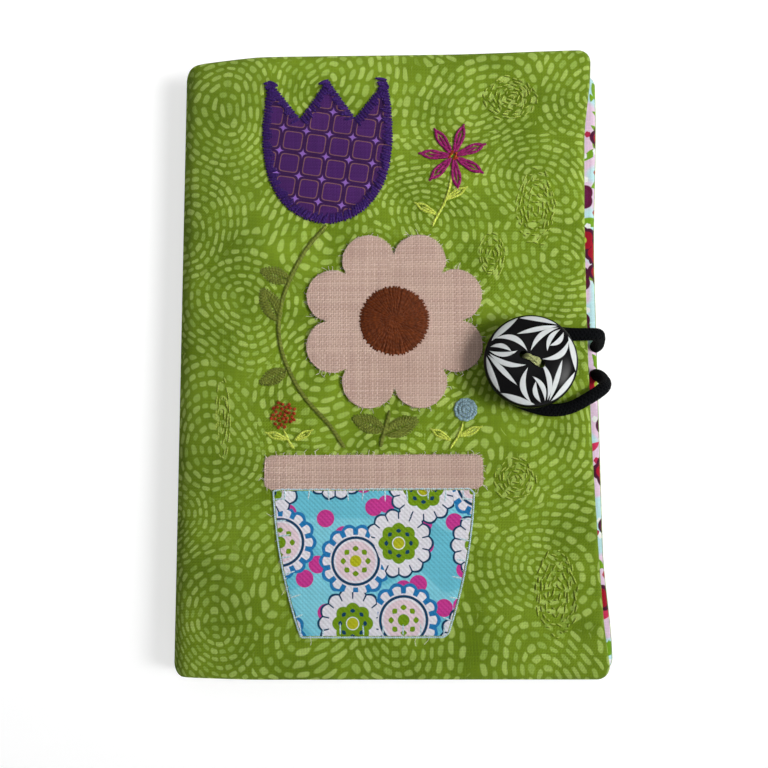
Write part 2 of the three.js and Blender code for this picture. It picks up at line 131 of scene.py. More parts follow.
# The button and the elastic
BUTTON_X = 32.4
BUTTON_Y = -2.8
BUTTON_UNDERSIDE = 21.4
BUTTON_RADIUS = 10.8
BUTTON_THICKNESS = 5.0
BUTTON_RIM = 1.8
BUTTON_TURN = math.radians(-28)
HOLE_RADIUS = 0.95
HOLE_PITCH = 4.5
ELASTIC_DIAMETER = 3.0
ELASTIC_BEND = ((51.2, 0.0, 1.7), (51.2, 0.0, 9.0))
ELASTIC_ROUTE = [
    (49.8, 3.7, 1.7),
    (50.7, 3.8, 2.8),
    (51.1, 4.0, 4.8),
    (50.6, 4.2, 9.2),
    (49.8, 4.3, 14.0),
    (48.7, 4.3, 17.6),
    (45.7, 4.2, 18.6),
    (41.8, 4.3, 18.6),
    (36.6, 5.0, 18.6),
    (30.6, 4.4, 18.6),
    (25.8, 0.9, 18.6),
    (24.3, -4.6, 18.6),
    (26.4, -9.2, 18.6),
    (31.0, -12.0, 18.6),
    (36.9, -13.6, 18.6),
    (41.7, -13.1, 18.6),
    (46.3, -10.8, 18.6),
    (49.7, -8.5, 16.6),
    (51.2, -6.8, 12.4),
    (51.6, -5.2, 8.0),
    (51.3, -3.8, 4.8),
    (50.7, -3.2, 2.8),
    (49.8, -2.9, 1.7),
]

# The leaves of one spray on the button: where each begins, inward and aside from the spray's root on the
# rim, its direction in degrees, and its length, half width and arch, all lengths as shares of the radius
BUTTON_SPRAY = [
    ((0.04, -0.110), 4, 0.45, 0.052, -0.070),
    ((0.04, -0.020), -10, 0.58, 0.052, 0.085),
    ((0.09, -0.300), 12, 0.74, 0.064, -0.150),
    ((0.04, 0.030), 8, 0.81, 0.057, 0.110),
    ((0.02, 0.070), 36, 0.90, 0.054, 0.010),
    ((0.00, 0.100), 58, 0.81, 0.068, 0.050),
    ((0.04, -0.240), -53, 0.78, 0.074, -0.030),
]

# The cloth shapes on the front
PATCH = 0.45
PATCH_LIFT = 0.1
POT_X = -4.0
POT_FOOT = -65.0
POT_TOP = 46.0
POT_BASE = 33.0
POT_HEIGHT = 33.0
POT_BULGE = 2.5
BAND_WIDTH = 51.0
BAND_HEIGHT = 8.0
BAND_CORNER = 1.5
BAND_FOOT = POT_FOOT + POT_HEIGHT + 0.3
DAISY = (1.0, 8.0)
DAISY_PETALS = 8
DAISY_VALLEY = 16.0
DAISY_TIP = 22.0
EYE_RADIUS = 8.5
EYE_HEIGHT = 1.6
TULIP = (-15.0, 32.0)
TULIP_WIDTH = 30.0
TULIP_HEIGHT = 36.0
TULIP_NOTCH = 10.0
TULIP_NOTCH_PLACE = 0.47

# Each thread's finish, its dark and light tones and its roughness
THREADS = {
    "purple": ("purple_floss", (36, 14, 76), (60, 30, 102), 0.55),
    "pale_blue": ("pale_blue_floss", (166, 196, 204), (204, 224, 228), 0.55),
    "beige": ("beige_floss", (176, 146, 134), (206, 180, 168), 0.55),
    "fray": ("linen_ends", (216, 200, 188), (238, 228, 220), 0.8),
    "brown": ("brown_wool", (64, 24, 4), (112, 52, 16), 0.5),
    "olive": ("olive_floss", (84, 94, 26), (122, 132, 52), 0.55),
    "lime": ("lime_floss", (176, 190, 58), (212, 222, 104), 0.55),
    "magenta": ("magenta_floss", (116, 16, 74), (158, 40, 108), 0.55),
    "rust": ("rust_floss", (140, 44, 18), (188, 78, 36), 0.55),
    "blue_grey": ("blue_grey_floss", (104, 132, 142), (152, 178, 186), 0.55),
    "seed": ("seed_floss", (162, 182, 66), (194, 208, 98), 0.4),
    # A dark olive thread laid beside each seed stitch as its painted shadow
    "seed_painted_shadow": ("painted_shadow_seed_floss", (80, 98, 16), (100, 118, 28), 0.8),
    "button": ("button_thread_green", (140, 148, 88), (184, 188, 132), 0.6),
    "gutter": ("gutter_thread", (120, 150, 40), (160, 186, 80), 0.6),
}


# Camera and light


def set_the_camera():
    lens = bpy.data.cameras.new("photo_lens")
    lens.lens = LENS
    lens.sensor_width = SENSOR
    lens.clip_start = 0.01
    camera = bpy.data.objects.new("photo_camera", lens)
    camera.location = CAMERA_PLACE
    camera.rotation_euler = [math.radians(degrees) for degrees in CAMERA_TURN]
    bpy.context.scene.collection.objects.link(camera)
    bpy.context.scene.camera = camera


def soft_lamp(name, place, size, power, aim, spread):
    lamp = bpy.data.lights.new(name, "AREA")
    lamp.shape = "DISK"
    lamp.size = size
    lamp.energy = power
    lamp.spread = math.radians(spread)
    stand = bpy.data.objects.new(name, lamp)
    stand.location = place
    stand.rotation_euler = (Vector(aim) - Vector(place)).to_track_quat("-Z", "Y").to_euler()
    bpy.context.scene.collection.objects.link(stand)


def light_the_room():
    bpy.context.scene.view_settings.view_transform = "Standard"
    world = bpy.data.worlds.new("studio")
    world.use_nodes = True
    steps = Recipe(world.node_tree)
    sky = world.node_tree.nodes["Background"]
    sky.inputs["Color"].default_value = (1.0, 1.0, 1.0, 1.0)
    steps.feed(sky.inputs["Strength"], seen_or_reflected(steps).between(SKY_LIGHT, 1.0))
    bpy.context.scene.world = world
    for lamp in LAMPS:
        soft_lamp(*lamp)


def seen_or_reflected(steps):
    """One for the camera and for what gloss shows, else zero."""
    path = steps.outputs(steps.add("ShaderNodeLightPath"))
    seen = path["Is Camera Ray"].by("MAXIMUM", path["Is Glossy Ray"])
    return seen.by("MAXIMUM", path["Is Transmission Ray"])


# Short ways to write node trees


class Value:
    """What a node puts out. A formula of values, numbers or vectors, adds the nodes that work it out."""

    def __init__(self, steps, socket):
        self.steps = steps
        self.socket = socket
        self.is_vector = socket.type != "VALUE"

    def by(self, operation, *others):
        return self.steps.work(operation, self, *others)

    def scaled(self, factor, offset):
        """This times the factor, with the offset added."""
        return self.by("MULTIPLY_ADD", factor, offset)

    def between(self, low, high):
        """A number from low, where this is 0, to high, where it is 1."""
        return self.scaled(high - low, low)

    def step(self, low, high):
        """A smooth step from 0 at low to 1 at high."""
        node = self.steps.add("ShaderNodeMapRange", {"interpolation_type": "SMOOTHSTEP"}, Value=self)
        self.steps.feed(node.inputs["From Min"], low)
        self.steps.feed(node.inputs["From Max"], high)
        return Value(self.steps, node.outputs["Result"])

    def mix(self, first, second):
        """A colour from the first, where this is 0, to the second, where it is 1."""
        node = self.steps.add("ShaderNodeMix", {"data_type": "RGBA"})
        # The node has sockets of the same name for other kinds of data, so these go by number
        for number, value in ((0, self), (6, first), (7, second)):
            self.steps.feed(node.inputs[number], value)
        return Value(self.steps, node.outputs[2])

    def pick(self, colours):
        """One of the colours, each for an equal share of the values from 0 to 1."""
        node = self.steps.add("ShaderNodeValToRGB", Fac=self)
        ramp = node.color_ramp
        ramp.interpolation = "CONSTANT"
        for place, colour in enumerate(colours):
            stop = ramp.elements[place] if place < 2 else ramp.elements.new(0.0)
            stop.position = place / len(colours)
            stop.color = colour
        return Value(self.steps, node.outputs["Color"])

    def shaded(self, value, dark, light):
        """This colour made darker or lighter as the value goes from 0 to 1."""
        return self * value.between(dark, light)

    def __add__(self, other):
        return self.by("ADD", other)

    def __sub__(self, other):
        return self.by("SUBTRACT", other)

    def __rsub__(self, other):
        return self.steps.work("SUBTRACT", other, self)

    def __mul__(self, other):
        return self.by("MULTIPLY", other)

    def __truediv__(self, other):
        return self.by("DIVIDE", other)

    def __pow__(self, other):
        return self.by("POWER", other)

    def __mod__(self, other):
        return self.by("FLOORED_MODULO", other)

    def __abs__(self):
        return self.by("ABSOLUTE")

    def __floor__(self):
        return self.by("FLOOR")


class Recipe:
    """Adds nodes to one tree, so that a finish reads as a list of steps."""

    def __init__(self, tree):
        self.tree = tree

    def feed(self, socket, value):
        if isinstance(value, Value):
            self.tree.links.new(value.socket, socket)
        else:
            socket.default_value = value

    def add(self, kind, settings=None, **inputs):
        node = self.tree.nodes.new(kind)
        for name, value in (settings or {}).items():
            setattr(node, name, value)
        for name, value in inputs.items():
            self.feed(node.inputs[name], value)
        return node

    def outputs(self, node):
        return {socket.name: Value(self, socket) for socket in node.outputs}

    def get(self, output, kind, settings=None, **inputs):
        """One output of a new node."""
        return Value(self, self.add(kind, settings, **inputs).outputs[output])

    def work(self, operation, *values):
        """The operation on numbers, or on vectors where one of the values is a vector."""
        with_vectors = any(isinstance(value, Value) and value.is_vector for value in values)
        kind = "ShaderNodeVectorMath" if with_vectors else "ShaderNodeMath"
        node = self.add(kind, {"operation": operation})
        for socket, value in zip(node.inputs, values):
            self.feed(socket, value)
        return Value(self, node.outputs[0])

    def length(self, vector):
        return self.get("Value", "ShaderNodeVectorMath", {"operation": "LENGTH"}, Vector=vector)

    def parts(self, vector):
        node = self.add("ShaderNodeSeparateXYZ", Vector=vector)
        return Value(self, node.outputs["X"]), Value(self, node.outputs["Y"])

    def pair(self, x, y):
        return self.get("Vector", "ShaderNodeCombineXYZ", X=x, Y=y)

    def turned(self, vector, angle):
        settings = {"rotation_type": "Z_AXIS"}
        return self.get("Vector", "ShaderNodeVectorRotate", settings, Vector=vector, Angle=angle)

    def noise(self, vector, scale, detail=2.0, **more):
        return self.get("Fac", "ShaderNodeTexNoise", Vector=vector, Scale=scale, Detail=detail, **more)

    def drift(self, vector, scale, detail, push, dimensions="3D"):
        """A soft wander in the plane, as far as push."""
        settings = {"noise_dimensions": dimensions}
        cloud = self.get("Color", "ShaderNodeTexNoise", settings, Vector=vector, Scale=scale, Detail=detail)
        return (cloud - (0.5, 0.5, 0.5)) * (push, push, 0.0)

    def chance(self, vector):
        return self.get("Value", "ShaderNodeTexWhiteNoise", {"noise_dimensions": "3D"}, Vector=vector)

    def cells(self, output, vector, size, scatter, feature="F1"):
        """An output of cells of that size, spread over the plane."""
        settings = {"voronoi_dimensions": "2D", "feature": feature}
        return self.get(
            output, "ShaderNodeTexVoronoi", settings, Vector=vector, Scale=1 / size, Randomness=scatter
        )

    def use(self, group, **inputs):
        return self.outputs(self.add("ShaderNodeGroup", {"node_tree": group}, **inputs))

    def cloth_map(self):
        return self.get("UV", "ShaderNodeUVMap", {"uv_map": "cloth"})

    def object_map(self):
        return self.get("Object", "ShaderNodeTexCoord")


class Finish(Recipe):
    """A material, with the steps that give it its colour and relief."""

    def __init__(self, name, roughness, sheen, gloss):
        self.material = bpy.data.materials.new(name)
        self.material.use_nodes = True
        super().__init__(self.material.node_tree)
        self.shader = self.tree.nodes["Principled BSDF"]
        self.set("Roughness", roughness)
        self.set("Sheen Weight", sheen)
        self.set("Sheen Roughness", 0.6)
        self.set("Specular IOR Level", gloss)

    def set(self, name, value):
        self.feed(self.shader.inputs[name], value)

    def done(self, colour, height=None, depth=0.0):
        """The material in its colour, raised by the height's share of the depth."""
        self.set("Base Color", colour)
        if height is not None:
            relief = self.get("Normal", "ShaderNodeBump", Height=height, Strength=1.0, Distance=depth)
            self.set("Normal", relief)
        return self.material


def tone(red, green, blue):
    """A colour as it is seen on the screen, for a node's socket."""
    shares = [level / 255 for level in (red, green, blue)]
    linear = [share / 12.92 if share <= 0.04045 else ((share + 0.055) / 1.055) ** 2.4 for share in shares]
    return (*linear, 1.0)


def tones(*colours):
    return [tone(*colour) for colour in colours]


def painted_over(colour, marks):
    """Marks laid over each other: each has a value, the ends of its soft edge, and its colour."""
    for value, outer, inner, tint in marks:
        colour = value.step(outer, inner).mix(colour, tint)
    return colour


# Effects, each built once and placed in the finishes


def shared_effect(name, inputs, work):
    """A node group. The work takes its steps and inputs, and gives what it puts out by name."""
    tree = bpy.data.node_groups.new(name, "ShaderNodeTree")
    steps = Recipe(tree)
    for label in inputs:
        kind = "NodeSocketVector" if label == "Vector" else "NodeSocketFloat"
        tree.interface.new_socket(name=label, in_out="INPUT", socket_type=kind)
    given = steps.outputs(tree.nodes.new("NodeGroupInput"))
    leave = tree.nodes.new("NodeGroupOutput")
    for label, value in work(steps, *[given[label] for label in inputs]).items():
        tree.interface.new_socket(name=label, in_out="OUTPUT", socket_type="NodeSocketFloat")
        steps.feed(leave.inputs[label], value)
    return tree


def plain_weave(steps, vector, pitch):
    """Threads over and under each other: their height, and a tint of their own for each thread."""
    tint_run = 40.0
    across, along = steps.parts(vector / pitch)
    warp_number = math.floor(across)
    weft_number = math.floor(along)
    over = (warp_number + weft_number) % 2.0
    warp = (across.by("FRACT") * math.pi).by("SINE") * over.between(0.5, 1.0)
    weft = (along.by("FRACT") * math.pi).by("SINE") * over.between(1.0, 0.5)
    warp_tint = steps.chance(steps.pair(warp_number, math.floor(along / tint_run)))
    weft_tint = steps.chance(steps.pair(math.floor(across / tint_run), weft_number))
    tint = warp.by("GREATER_THAN", weft) * (warp_tint - weft_tint) + weft_tint
    return {"Height": warp.by("MAXIMUM", weft), "Tint": tint}


def leaf_mark(steps, vector, turn, length, width, curve, arch):
    """A pointed leaf that grows from the origin: its length, half width, direction, curve and arch."""
    along, across = steps.parts(steps.turned(vector, turn))
    share = along / length
    spread = share.scaled(2.0, -1.0)
    room = 1.0 - spread * spread
    rib = arch.scaled(room, curve * (share * share))
    beside = abs(across - rib) / width
    return {"Mask": (room - beside).step(-0.06, 0.12)}


def ring_of_petals(steps, vector, size, petals, depth, scatter):
    """Round blossoms strewn over cloth: how far a point is from its blossom, and which blossom it is."""
    counted = vector / size
    heart = steps.cells("Position", counted, 1.0, scatter)
    away = counted - heart
    x, y = steps.parts(away)
    turn = y.by("ARCTAN2", x)
    reach = steps.length(away)
    lobe = abs((turn * petals * 0.5).by("COSINE"))
    swell = lobe.scaled(2.0, -1.3).scaled(depth, 1.0)
    return {
        "Distance": reach,
        "Share": reach / swell,
        "Chance": steps.chance(heart),
        "Turn": turn,
        "Lobe": lobe,
    }


def rice_print(steps, vector):
    """Rice grains in rings round many middles: where a grain lies, and a chance that is its own."""
    grain_pitch = 0.0028
    cell = 0.027
    scatter = 0.9
    moved = vector
    for scale, push in ((34.0, 0.010), (260.0, 0.0009)):
        moved = moved + steps.drift(vector, scale, 0.5, push, "2D")
    heart = steps.cells("Position", moved, cell, scatter)
    away = moved - heart
    x, y = steps.parts(away)
    pitch = steps.chance(heart).between(0.00176, 0.0022)
    reach = steps.length(away) / pitch
    ring = math.floor(reach)
    middle_reach = (ring + 0.5) * pitch
    circle = middle_reach * FULL_TURN
    count = (circle / grain_pitch).by("ROUND").by("MAXIMUM", 2.0)
    turn = y.by("ARCTAN2", x) * (1 / FULL_TURN)
    offset = steps.chance(heart + steps.pair(ring, 0.0)) * 7.0
    place = turn.scaled(count, offset)
    number = math.floor(place)
    own = steps.chance(steps.pair(number % count + offset, ring))

    middle_turn = (number + 0.5 - offset) / count * FULL_TURN
    middle = heart + steps.pair(middle_turn.by("COSINE"), middle_turn.by("SINE")) * middle_reach
    border = steps.cells("Distance", middle, cell, scatter, "DISTANCE_TO_EDGE")
    shown = (border * cell).step(0.00025, 0.00055)

    room = circle / count
    along = (place.by("FRACT") - 0.5) * room
    across = (reach.by("FRACT") - 0.5) * pitch
    half_length = own.between(0.00094, 0.00124).by("MINIMUM", room * 0.46)
    half_width = pitch * (own * 7.0).by("FRACT").between(0.25, 0.34)
    outside = abs(along / half_length) ** 3.6 + abs(across / half_width) ** 2.3
    return {"Grain": outside.step(1.45, 0.35) * shown, "Own": own}


def twisted_strand(steps, turns):
    """The slant of a twisted thread round a stitch, on the stitch's own map."""
    around, along = steps.parts(steps.get("UV", "ShaderNodeUVMap", {"uv_map": "thread"}))
    wave = (along.scaled(turns, around) * FULL_TURN).by("SINE")
    return {"Height": wave.scaled(0.5, 0.5)}


def make_effects():
    leaf_inputs = ["Vector", "Turn", "Length", "Width", "Curve", "Arch"]
    petal_inputs = ["Vector", "Size", "Petals", "Depth", "Scatter"]
    return {
        "weave": shared_effect("plain_weave", ["Vector", "Pitch"], plain_weave),
        "leaf": shared_effect("leaf_mark", leaf_inputs, leaf_mark),
        "petals": shared_effect("ring_of_petals", petal_inputs, ring_of_petals),
        "rice": shared_effect("rice_print", ["Vector"], rice_print),
        "twist": shared_effect("twisted_strand", ["Turns"], twisted_strand),
    }


# Finishes


def cover_cotton(effects):
    """Green cotton with a print of rice grains in a lighter green."""
    finish = Finish("cover_cotton", roughness=0.9, sheen=0.04, gloss=0.06)
    where = finish.cloth_map()
    rice = finish.use(effects["rice"], Vector=where)
    weave = finish.use(effects["weave"], Vector=where, Pitch=0.00036)
    cloud = finish.noise(where, 62.0).step(0.28, 0.72)
    ground = cloud.mix(tone(106, 134, 20), tone(122, 149, 33))
    grain = rice["Own"].mix(tone(146, 174, 68), tone(178, 200, 98))
    colour = rice["Grain"].mix(ground, grain).shaded(cloud, 0.91, 1.10)
    # Painted shade: darker where the weave dips, on top of each thread's own tint
    colour = colour.shaded(weave["Tint"], 0.90, 1.08).shaded(weave["Height"], 0.84, 1.05)
    return finish.done(colour, weave["Height"], depth=0.00014)


def lining_cotton(effects):
    """Small blossoms, leaves and dots, strewn over a pale ground."""
    leaf_tones = tones((120, 168, 30), (206, 34, 70), (58, 160, 176), (214, 52, 92), (96, 140, 20))
    dot_tones = tones((248, 248, 246), (74, 190, 202), (186, 42, 78), (246, 246, 244))
    rim_tones = tones((74, 14, 48), (66, 12, 40), (44, 24, 60), (96, 20, 60), (40, 150, 168))
    petal_tones = tones((164, 18, 40), (196, 44, 104), (140, 16, 46), (104, 22, 70), (226, 240, 242))
    finish = Finish("lining_cotton", roughness=0.9, sheen=0.04, gloss=0.1)
    where = finish.cloth_map()
    pools = finish.noise(where, 60.0, 1.0).step(0.50, 0.54)
    colour = pools.mix(tone(236, 208, 230), tone(196, 234, 238))
    for size, shift, length, width in ((0.0072, 0.31, 0.0062, 0.0010), (0.0085, 0.77, 0.0070, 0.0013)):
        strewn = where + (shift, shift / 2, 0.0)
        spot = finish.cells("Position", strewn, size, 0.9)
        chance = finish.chance(spot)
        leaf = finish.use(
            effects["leaf"],
            Vector=strewn - spot,
            Turn=chance * FULL_TURN,
            Length=length,
            Width=width,
            Curve=0.0012,
            Arch=0.0,
        )
        colour = leaf["Mask"].mix(colour, (chance * 9.0).by("FRACT").pick(leaf_tones))
    dots = finish.use(effects["petals"], Vector=where, Size=0.0046, Petals=5.0, Depth=0.1, Scatter=1.0)
    bloom = finish.use(effects["petals"], Vector=where, Size=0.0125, Petals=5.0, Depth=0.09, Scatter=0.9)
    marks = [
        (dots["Share"], 0.19, 0.15, dots["Chance"].pick(dot_tones)),
        (bloom["Share"], 0.30, 0.28, bloom["Chance"].pick(rim_tones)),
        (bloom["Share"], 0.22, 0.20, bloom["Chance"].pick(petal_tones)),
        (bloom["Distance"], 0.08, 0.06, tone(186, 206, 64)),
    ]
    weave = finish.use(effects["weave"], Vector=where, Pitch=0.00036)
    colour = painted_over(colour, marks)
    # Painted shade: darker where the weave dips, on top of each thread's own tint
    colour = colour.shaded(weave["Tint"], 0.93, 1.04).shaded(weave["Height"], 0.88, 1.03)
    return finish.done(colour, weave["Height"], depth=0.00012)


def wool_felt():
    """Matted fibres with soft clumps."""
    finish = Finish("wool_felt", roughness=1.0, sheen=0.35, gloss=0.1)
    where = finish.object_map()
    fibres = finish.noise(where, 900.0, 5.0, Roughness=0.7, Distortion=1.8)
    clumps = finish.noise(where, 180.0, 3.0)
    colour = clumps.mix(tone(228, 218, 196), tone(243, 236, 220)).shaded(fibres, 0.86, 1.08)
    return finish.done(colour, fibres + clumps, depth=0.0004)


def batting_fleece():
    """White fluff."""
    finish = Finish("batting_fleece", roughness=1.0, sheen=0.3, gloss=0.1)
    fluff = finish.noise(finish.object_map(), 420.0, 5.0)
    return finish.done(fluff.mix(tone(224, 222, 214), tone(246, 245, 240)), fluff, depth=0.0006)


def linen(effects):
    """Coarse natural weave whose threads wander, with slubs along them."""
    finish = Finish("linen", roughness=0.92, sheen=0.03, gloss=0.05)
    where = finish.object_map()
    wander = finish.drift(where, 260.0, 1.0, 0.0003)
    weave = finish.use(effects["weave"], Vector=where + wander, Pitch=0.00056)
    slub = finish.noise(where * (1.0, 0.2, 1.0), 700.0, 3.0)
    colour = weave["Tint"].mix(tone(186, 157, 143), tone(207, 180, 166))
    # Painted shade: darker where the weave dips, as well as the slubs' own tone
    colour = colour.shaded(slub, 0.94, 1.06).shaded(weave["Height"], 0.74, 1.06)
    return finish.done(colour, weave["Height"], depth=0.00016)


def purple_cotton(effects):
    """A trellis of rounded squares, each drawn with one fine line, and a small star on each crossing."""
    finish = Finish("purple_cotton", roughness=0.88, sheen=0.03, gloss=0.06)
    where = finish.object_map()
    x, y = finish.parts(finish.turned(where, math.radians(9)) / (0.0057, 0.0057, 1.0))
    line_x = x.by("PINGPONG", 0.5)
    line_y = y.by("PINGPONG", 0.5)
    square = ((0.5 - line_x) ** 6.0 + (0.5 - line_y) ** 6.0) ** (1 / 6)
    star = line_x**0.5 + line_y**0.5
    cloud = finish.noise(where, 90.0)
    inside = cloud.mix(tone(66, 32, 90), tone(80, 40, 106))
    between = cloud.mix(tone(50, 24, 70), tone(60, 30, 82))
    marks = [
        (square, 0.415, 0.395, inside),
        (abs(square - 0.385), 0.026, 0.010, tone(132, 90, 86)),
        (star, 0.52, 0.46, tone(146, 104, 192)),
    ]
    weave = finish.use(effects["weave"], Vector=where, Pitch=0.00034)
    colour = painted_over(between, marks)
    # Painted shade: darker where the weave dips, on top of each thread's own tint
    colour = colour.shaded(weave["Tint"], 0.86, 1.10).shaded(weave["Height"], 0.80, 1.06)
    return finish.done(colour, weave["Height"], depth=0.00012)


def pot_cotton(effects):
    """Scalloped rosettes, rayed plates and dots in turquoise, blue, white, green and pink."""
    white = tone(226, 224, 230)
    ink = tone(16, 58, 92)
    green = tone(112, 148, 20)
    blue = tone(36, 118, 178)
    pink = tone(198, 58, 142)
    finish = Finish("pot_cotton", roughness=0.88, sheen=0.03, gloss=0.06)
    where = finish.object_map()
    flat = where * (1.0, 1.0, 0.0) + (0.205, 0.118, 0.0)
    pools = finish.noise(flat, 75.0, 0.0).step(0.50, 0.53)
    ground = pools.mix(tone(104, 190, 210), tone(126, 204, 220))
    small = finish.use(effects["petals"], Vector=flat, Size=0.0078, Petals=4.0, Depth=0.0, Scatter=0.9)
    small_tint = small["Chance"].pick([pink, green, pink, tone(190, 52, 136)])
    ground = painted_over(ground, [(small["Distance"], 0.27, 0.25, small_tint)])

    ring = finish.use(effects["petals"], Vector=flat, Size=0.0172, Petals=14.0, Depth=0.05, Scatter=0.5)
    reach = ring["Distance"]
    scallop = ring["Share"]
    other = (ring["Chance"] * 7.0).by("FRACT")
    inner = other.pick([green, blue, green, pink])
    heart = other.pick([tone(178, 180, 30), green, ink])
    lobes = abs((ring["Turn"] * 4.0).by("COSINE"))
    flower = reach / lobes.between(0.90, 1.06)
    bead = (1.0 - lobes).scaled(0.07, abs(reach - 0.165))

    notch = ring["Lobe"].step(0.24, 0.12) * scallop.step(0.445, 0.435) * reach.step(0.31, 0.33)
    rosette = painted_over(ground, [(scallop, 0.462, 0.452, ink), (scallop, 0.432, 0.422, white)])
    rosette_marks = [
        (reach, 0.325, 0.315, white),
        (flower, 0.262, 0.252, inner),
        (bead, 0.030, 0.022, ink),
        (reach, 0.092, 0.084, white),
        (reach, 0.080, 0.072, heart),
    ]
    rosette = painted_over(notch.mix(rosette, ink), rosette_marks)

    ray = ring["Lobe"].step(0.52, 0.64) * scallop.step(0.435, 0.425)
    plate = painted_over(ground, [(scallop, 0.485, 0.470, blue)])
    plate_marks = [
        (reach, 0.352, 0.344, white),
        (reach, 0.332, 0.324, ink),
        (reach, 0.296, 0.288, white),
        (reach, 0.270, 0.260, tone(226, 204, 212)),
        (bead, 0.040, 0.032, inner),
        (reach, 0.082, 0.074, heart),
    ]
    plate = painted_over(ray.mix(plate, white), plate_marks)

    x, y = finish.parts(where)
    twill = ((x + y) * 1700.0).by("PINGPONG", 1.0)
    weave = finish.use(effects["weave"], Vector=where, Pitch=0.00038)
    colour = ring["Chance"].by("GREATER_THAN", 0.5).mix(rosette, plate)
    # Painted shade: darker in the low lines of the twill, on top of each thread's own tint
    colour = colour.shaded(weave["Tint"], 0.94, 1.04).shaded(twill, 0.90, 1.04)
    return finish.done(colour, weave["Height"] + twill, depth=0.00008)


def floss(effects, name, dark, light, roughness):
    """Embroidery thread with its twist, with painted shade in the twist's grooves and painted highlight on
    its ridges.
    """
    finish = Finish(name, roughness=roughness, sheen=0.02, gloss=0.10)
    twist = finish.use(effects["twist"], Turns=5.0)["Height"]
    colour = finish.noise(finish.object_map(), 700.0).mix(tone(*dark), tone(*light))
    # Painted shade and highlight: the colour follows the twist's height
    return finish.done(colour.shaded(twist, 0.78, 1.12), twist, depth=0.00008)


def black_elastic():
    """A round braid: two sets of strands that cross, on the cord's own map, with painted shade between the
    strands.
    """
    strands_round = 6.0
    strands_per_metre = 1150.0
    finish = Finish("black_elastic", roughness=0.85, sheen=0.0, gloss=0.03)
    along, around = finish.parts(finish.cloth_map())
    length_count = along * strands_per_metre
    round_count = around * (strands_round / (math.pi * ELASTIC_DIAMETER * MM))
    left = (length_count + round_count).by("PINGPONG", 0.5)
    right = (length_count - round_count).by("PINGPONG", 0.5)
    braid = left.by("MAXIMUM", right) * 2.0
    # Painted shade: near black where the braid dips, lighter on the strands
    return finish.done(braid.mix(tone(1, 2, 2), tone(13, 14, 16)), braid, depth=0.00022)


def painted_button(effects):
    """Gloss black with pale sprays of leaves that grow in from three places on the rim."""
    finish = Finish("painted_button", roughness=0.2, sheen=0.0, gloss=0.06)
    spray_turns = (48, 168, 288)
    spray_root = 0.95
    to_share = 1 / (BUTTON_RADIUS * MM)
    local = finish.object_map() - (BUTTON_X * MM, BUTTON_Y * MM, 0.0)
    local = local * (to_share, to_share, 0.0)
    sprays = 0.0
    for degrees in spray_turns:
        toward, aside = finish.parts(finish.turned(local, math.radians(-degrees)))
        rooted = finish.pair(spray_root - toward, aside)
        for begin, lean, length, width, arch in BUTTON_SPRAY:
            leaf = finish.use(
                effects["leaf"],
                Vector=rooted - (*begin, 0.0),
                Turn=math.radians(-lean),
                Length=length,
                Width=width,
                Curve=0.0,
                Arch=arch,
            )
            sprays = leaf["Mask"].by("MAXIMUM", sprays)
    sprays = sprays * finish.length(local).step(0.965, 0.945)
    brush = finish.noise(finish.object_map(), 1400.0, 3.0)
    black = brush.mix(tone(2, 2, 3), tone(6, 6, 7))
    pale = brush.mix(tone(196, 200, 200), tone(212, 215, 215))
    finish.set("Roughness", brush.between(0.16, 0.26))
    return finish.done(sprays.mix(black, pale), sprays, depth=0.00003)


def pale_floor():
    """White for the camera at any distance, with room for the shadow near the book."""
    finish = Finish("pale_floor", roughness=0.9, sheen=0.0, gloss=0.1)
    mottle = finish.noise(finish.object_map(), 8.0)
    far = finish.length(finish.object_map()).step(0.13, 0.45)
    glow = far.between(FLOOR_GLOW, FAR_FLOOR_GLOW)
    finish.set("Emission Color", (1.0, 1.0, 1.0, 1.0))
    finish.set("Emission Strength", seen_or_reflected(finish) * glow)
    return finish.done(mottle.mix(tone(186, 186, 186), tone(190, 190, 190)))


# Shapes


def clamped(share):
    """The share, kept from 0 to 1."""
    return min(max(share, 0.0), 1.0)


def ease(share):
    """Smooth way from 0 to 1."""
    share = clamped(share)
    return share * share * (3 - 2 * share)


def bump(distance, width):
    """One at no distance, and falling off to nothing over a few widths."""
    return math.exp(-((distance / width) ** 2))


def stepped(start, end, step):
    """Even steps from start to end, both included."""
    count = max(1, math.ceil(abs(end - start) / step - 1e-6))
    return [start + (end - start) * number / count for number in range(count + 1)]


def lengths_along(points):
    """The length along a line of points, at each of them."""
    lengths = [0.0]
    for before, after in zip(points, points[1:]):
        lengths.append(lengths[-1] + (after - before).length)
    return lengths


def heading(turn):
    """One unit in a direction of the plane."""
    return Vector((math.cos(turn), math.sin(turn)))


def left_of(way):
    """The direction at a right angle to the left."""
    return Vector((-way.y, way.x))


def weld(bm):
    """Joins vertices that lie in the same place."""
    bmesh.ops.remove_doubles(bm, verts=bm.verts[:], dist=1e-6)


def smooth(mesh, hard_edge):
    """Smooth shading, apart from edges past that angle."""
    mesh.shade_smooth()
    mesh.set_sharp_from_angle(angle=math.radians(hard_edge))


def piece(name, bm, material, hard_edge=CLOTH_EDGE):
    """A bmesh as a finished object at the origin."""
    mesh = bpy.data.meshes.new(name)
    bm.to_mesh(mesh)
    bm.free()
    smooth(mesh, hard_edge)
    mesh.materials.append(material)
    made = bpy.data.objects.new(name, mesh)
    bpy.context.scene.collection.objects.link(made)
    return made


def dressed(thing, body, node):
    """The piece on its body, in place of a node of the model."""
    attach(thing, body)
    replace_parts(thing, node)
    return thing


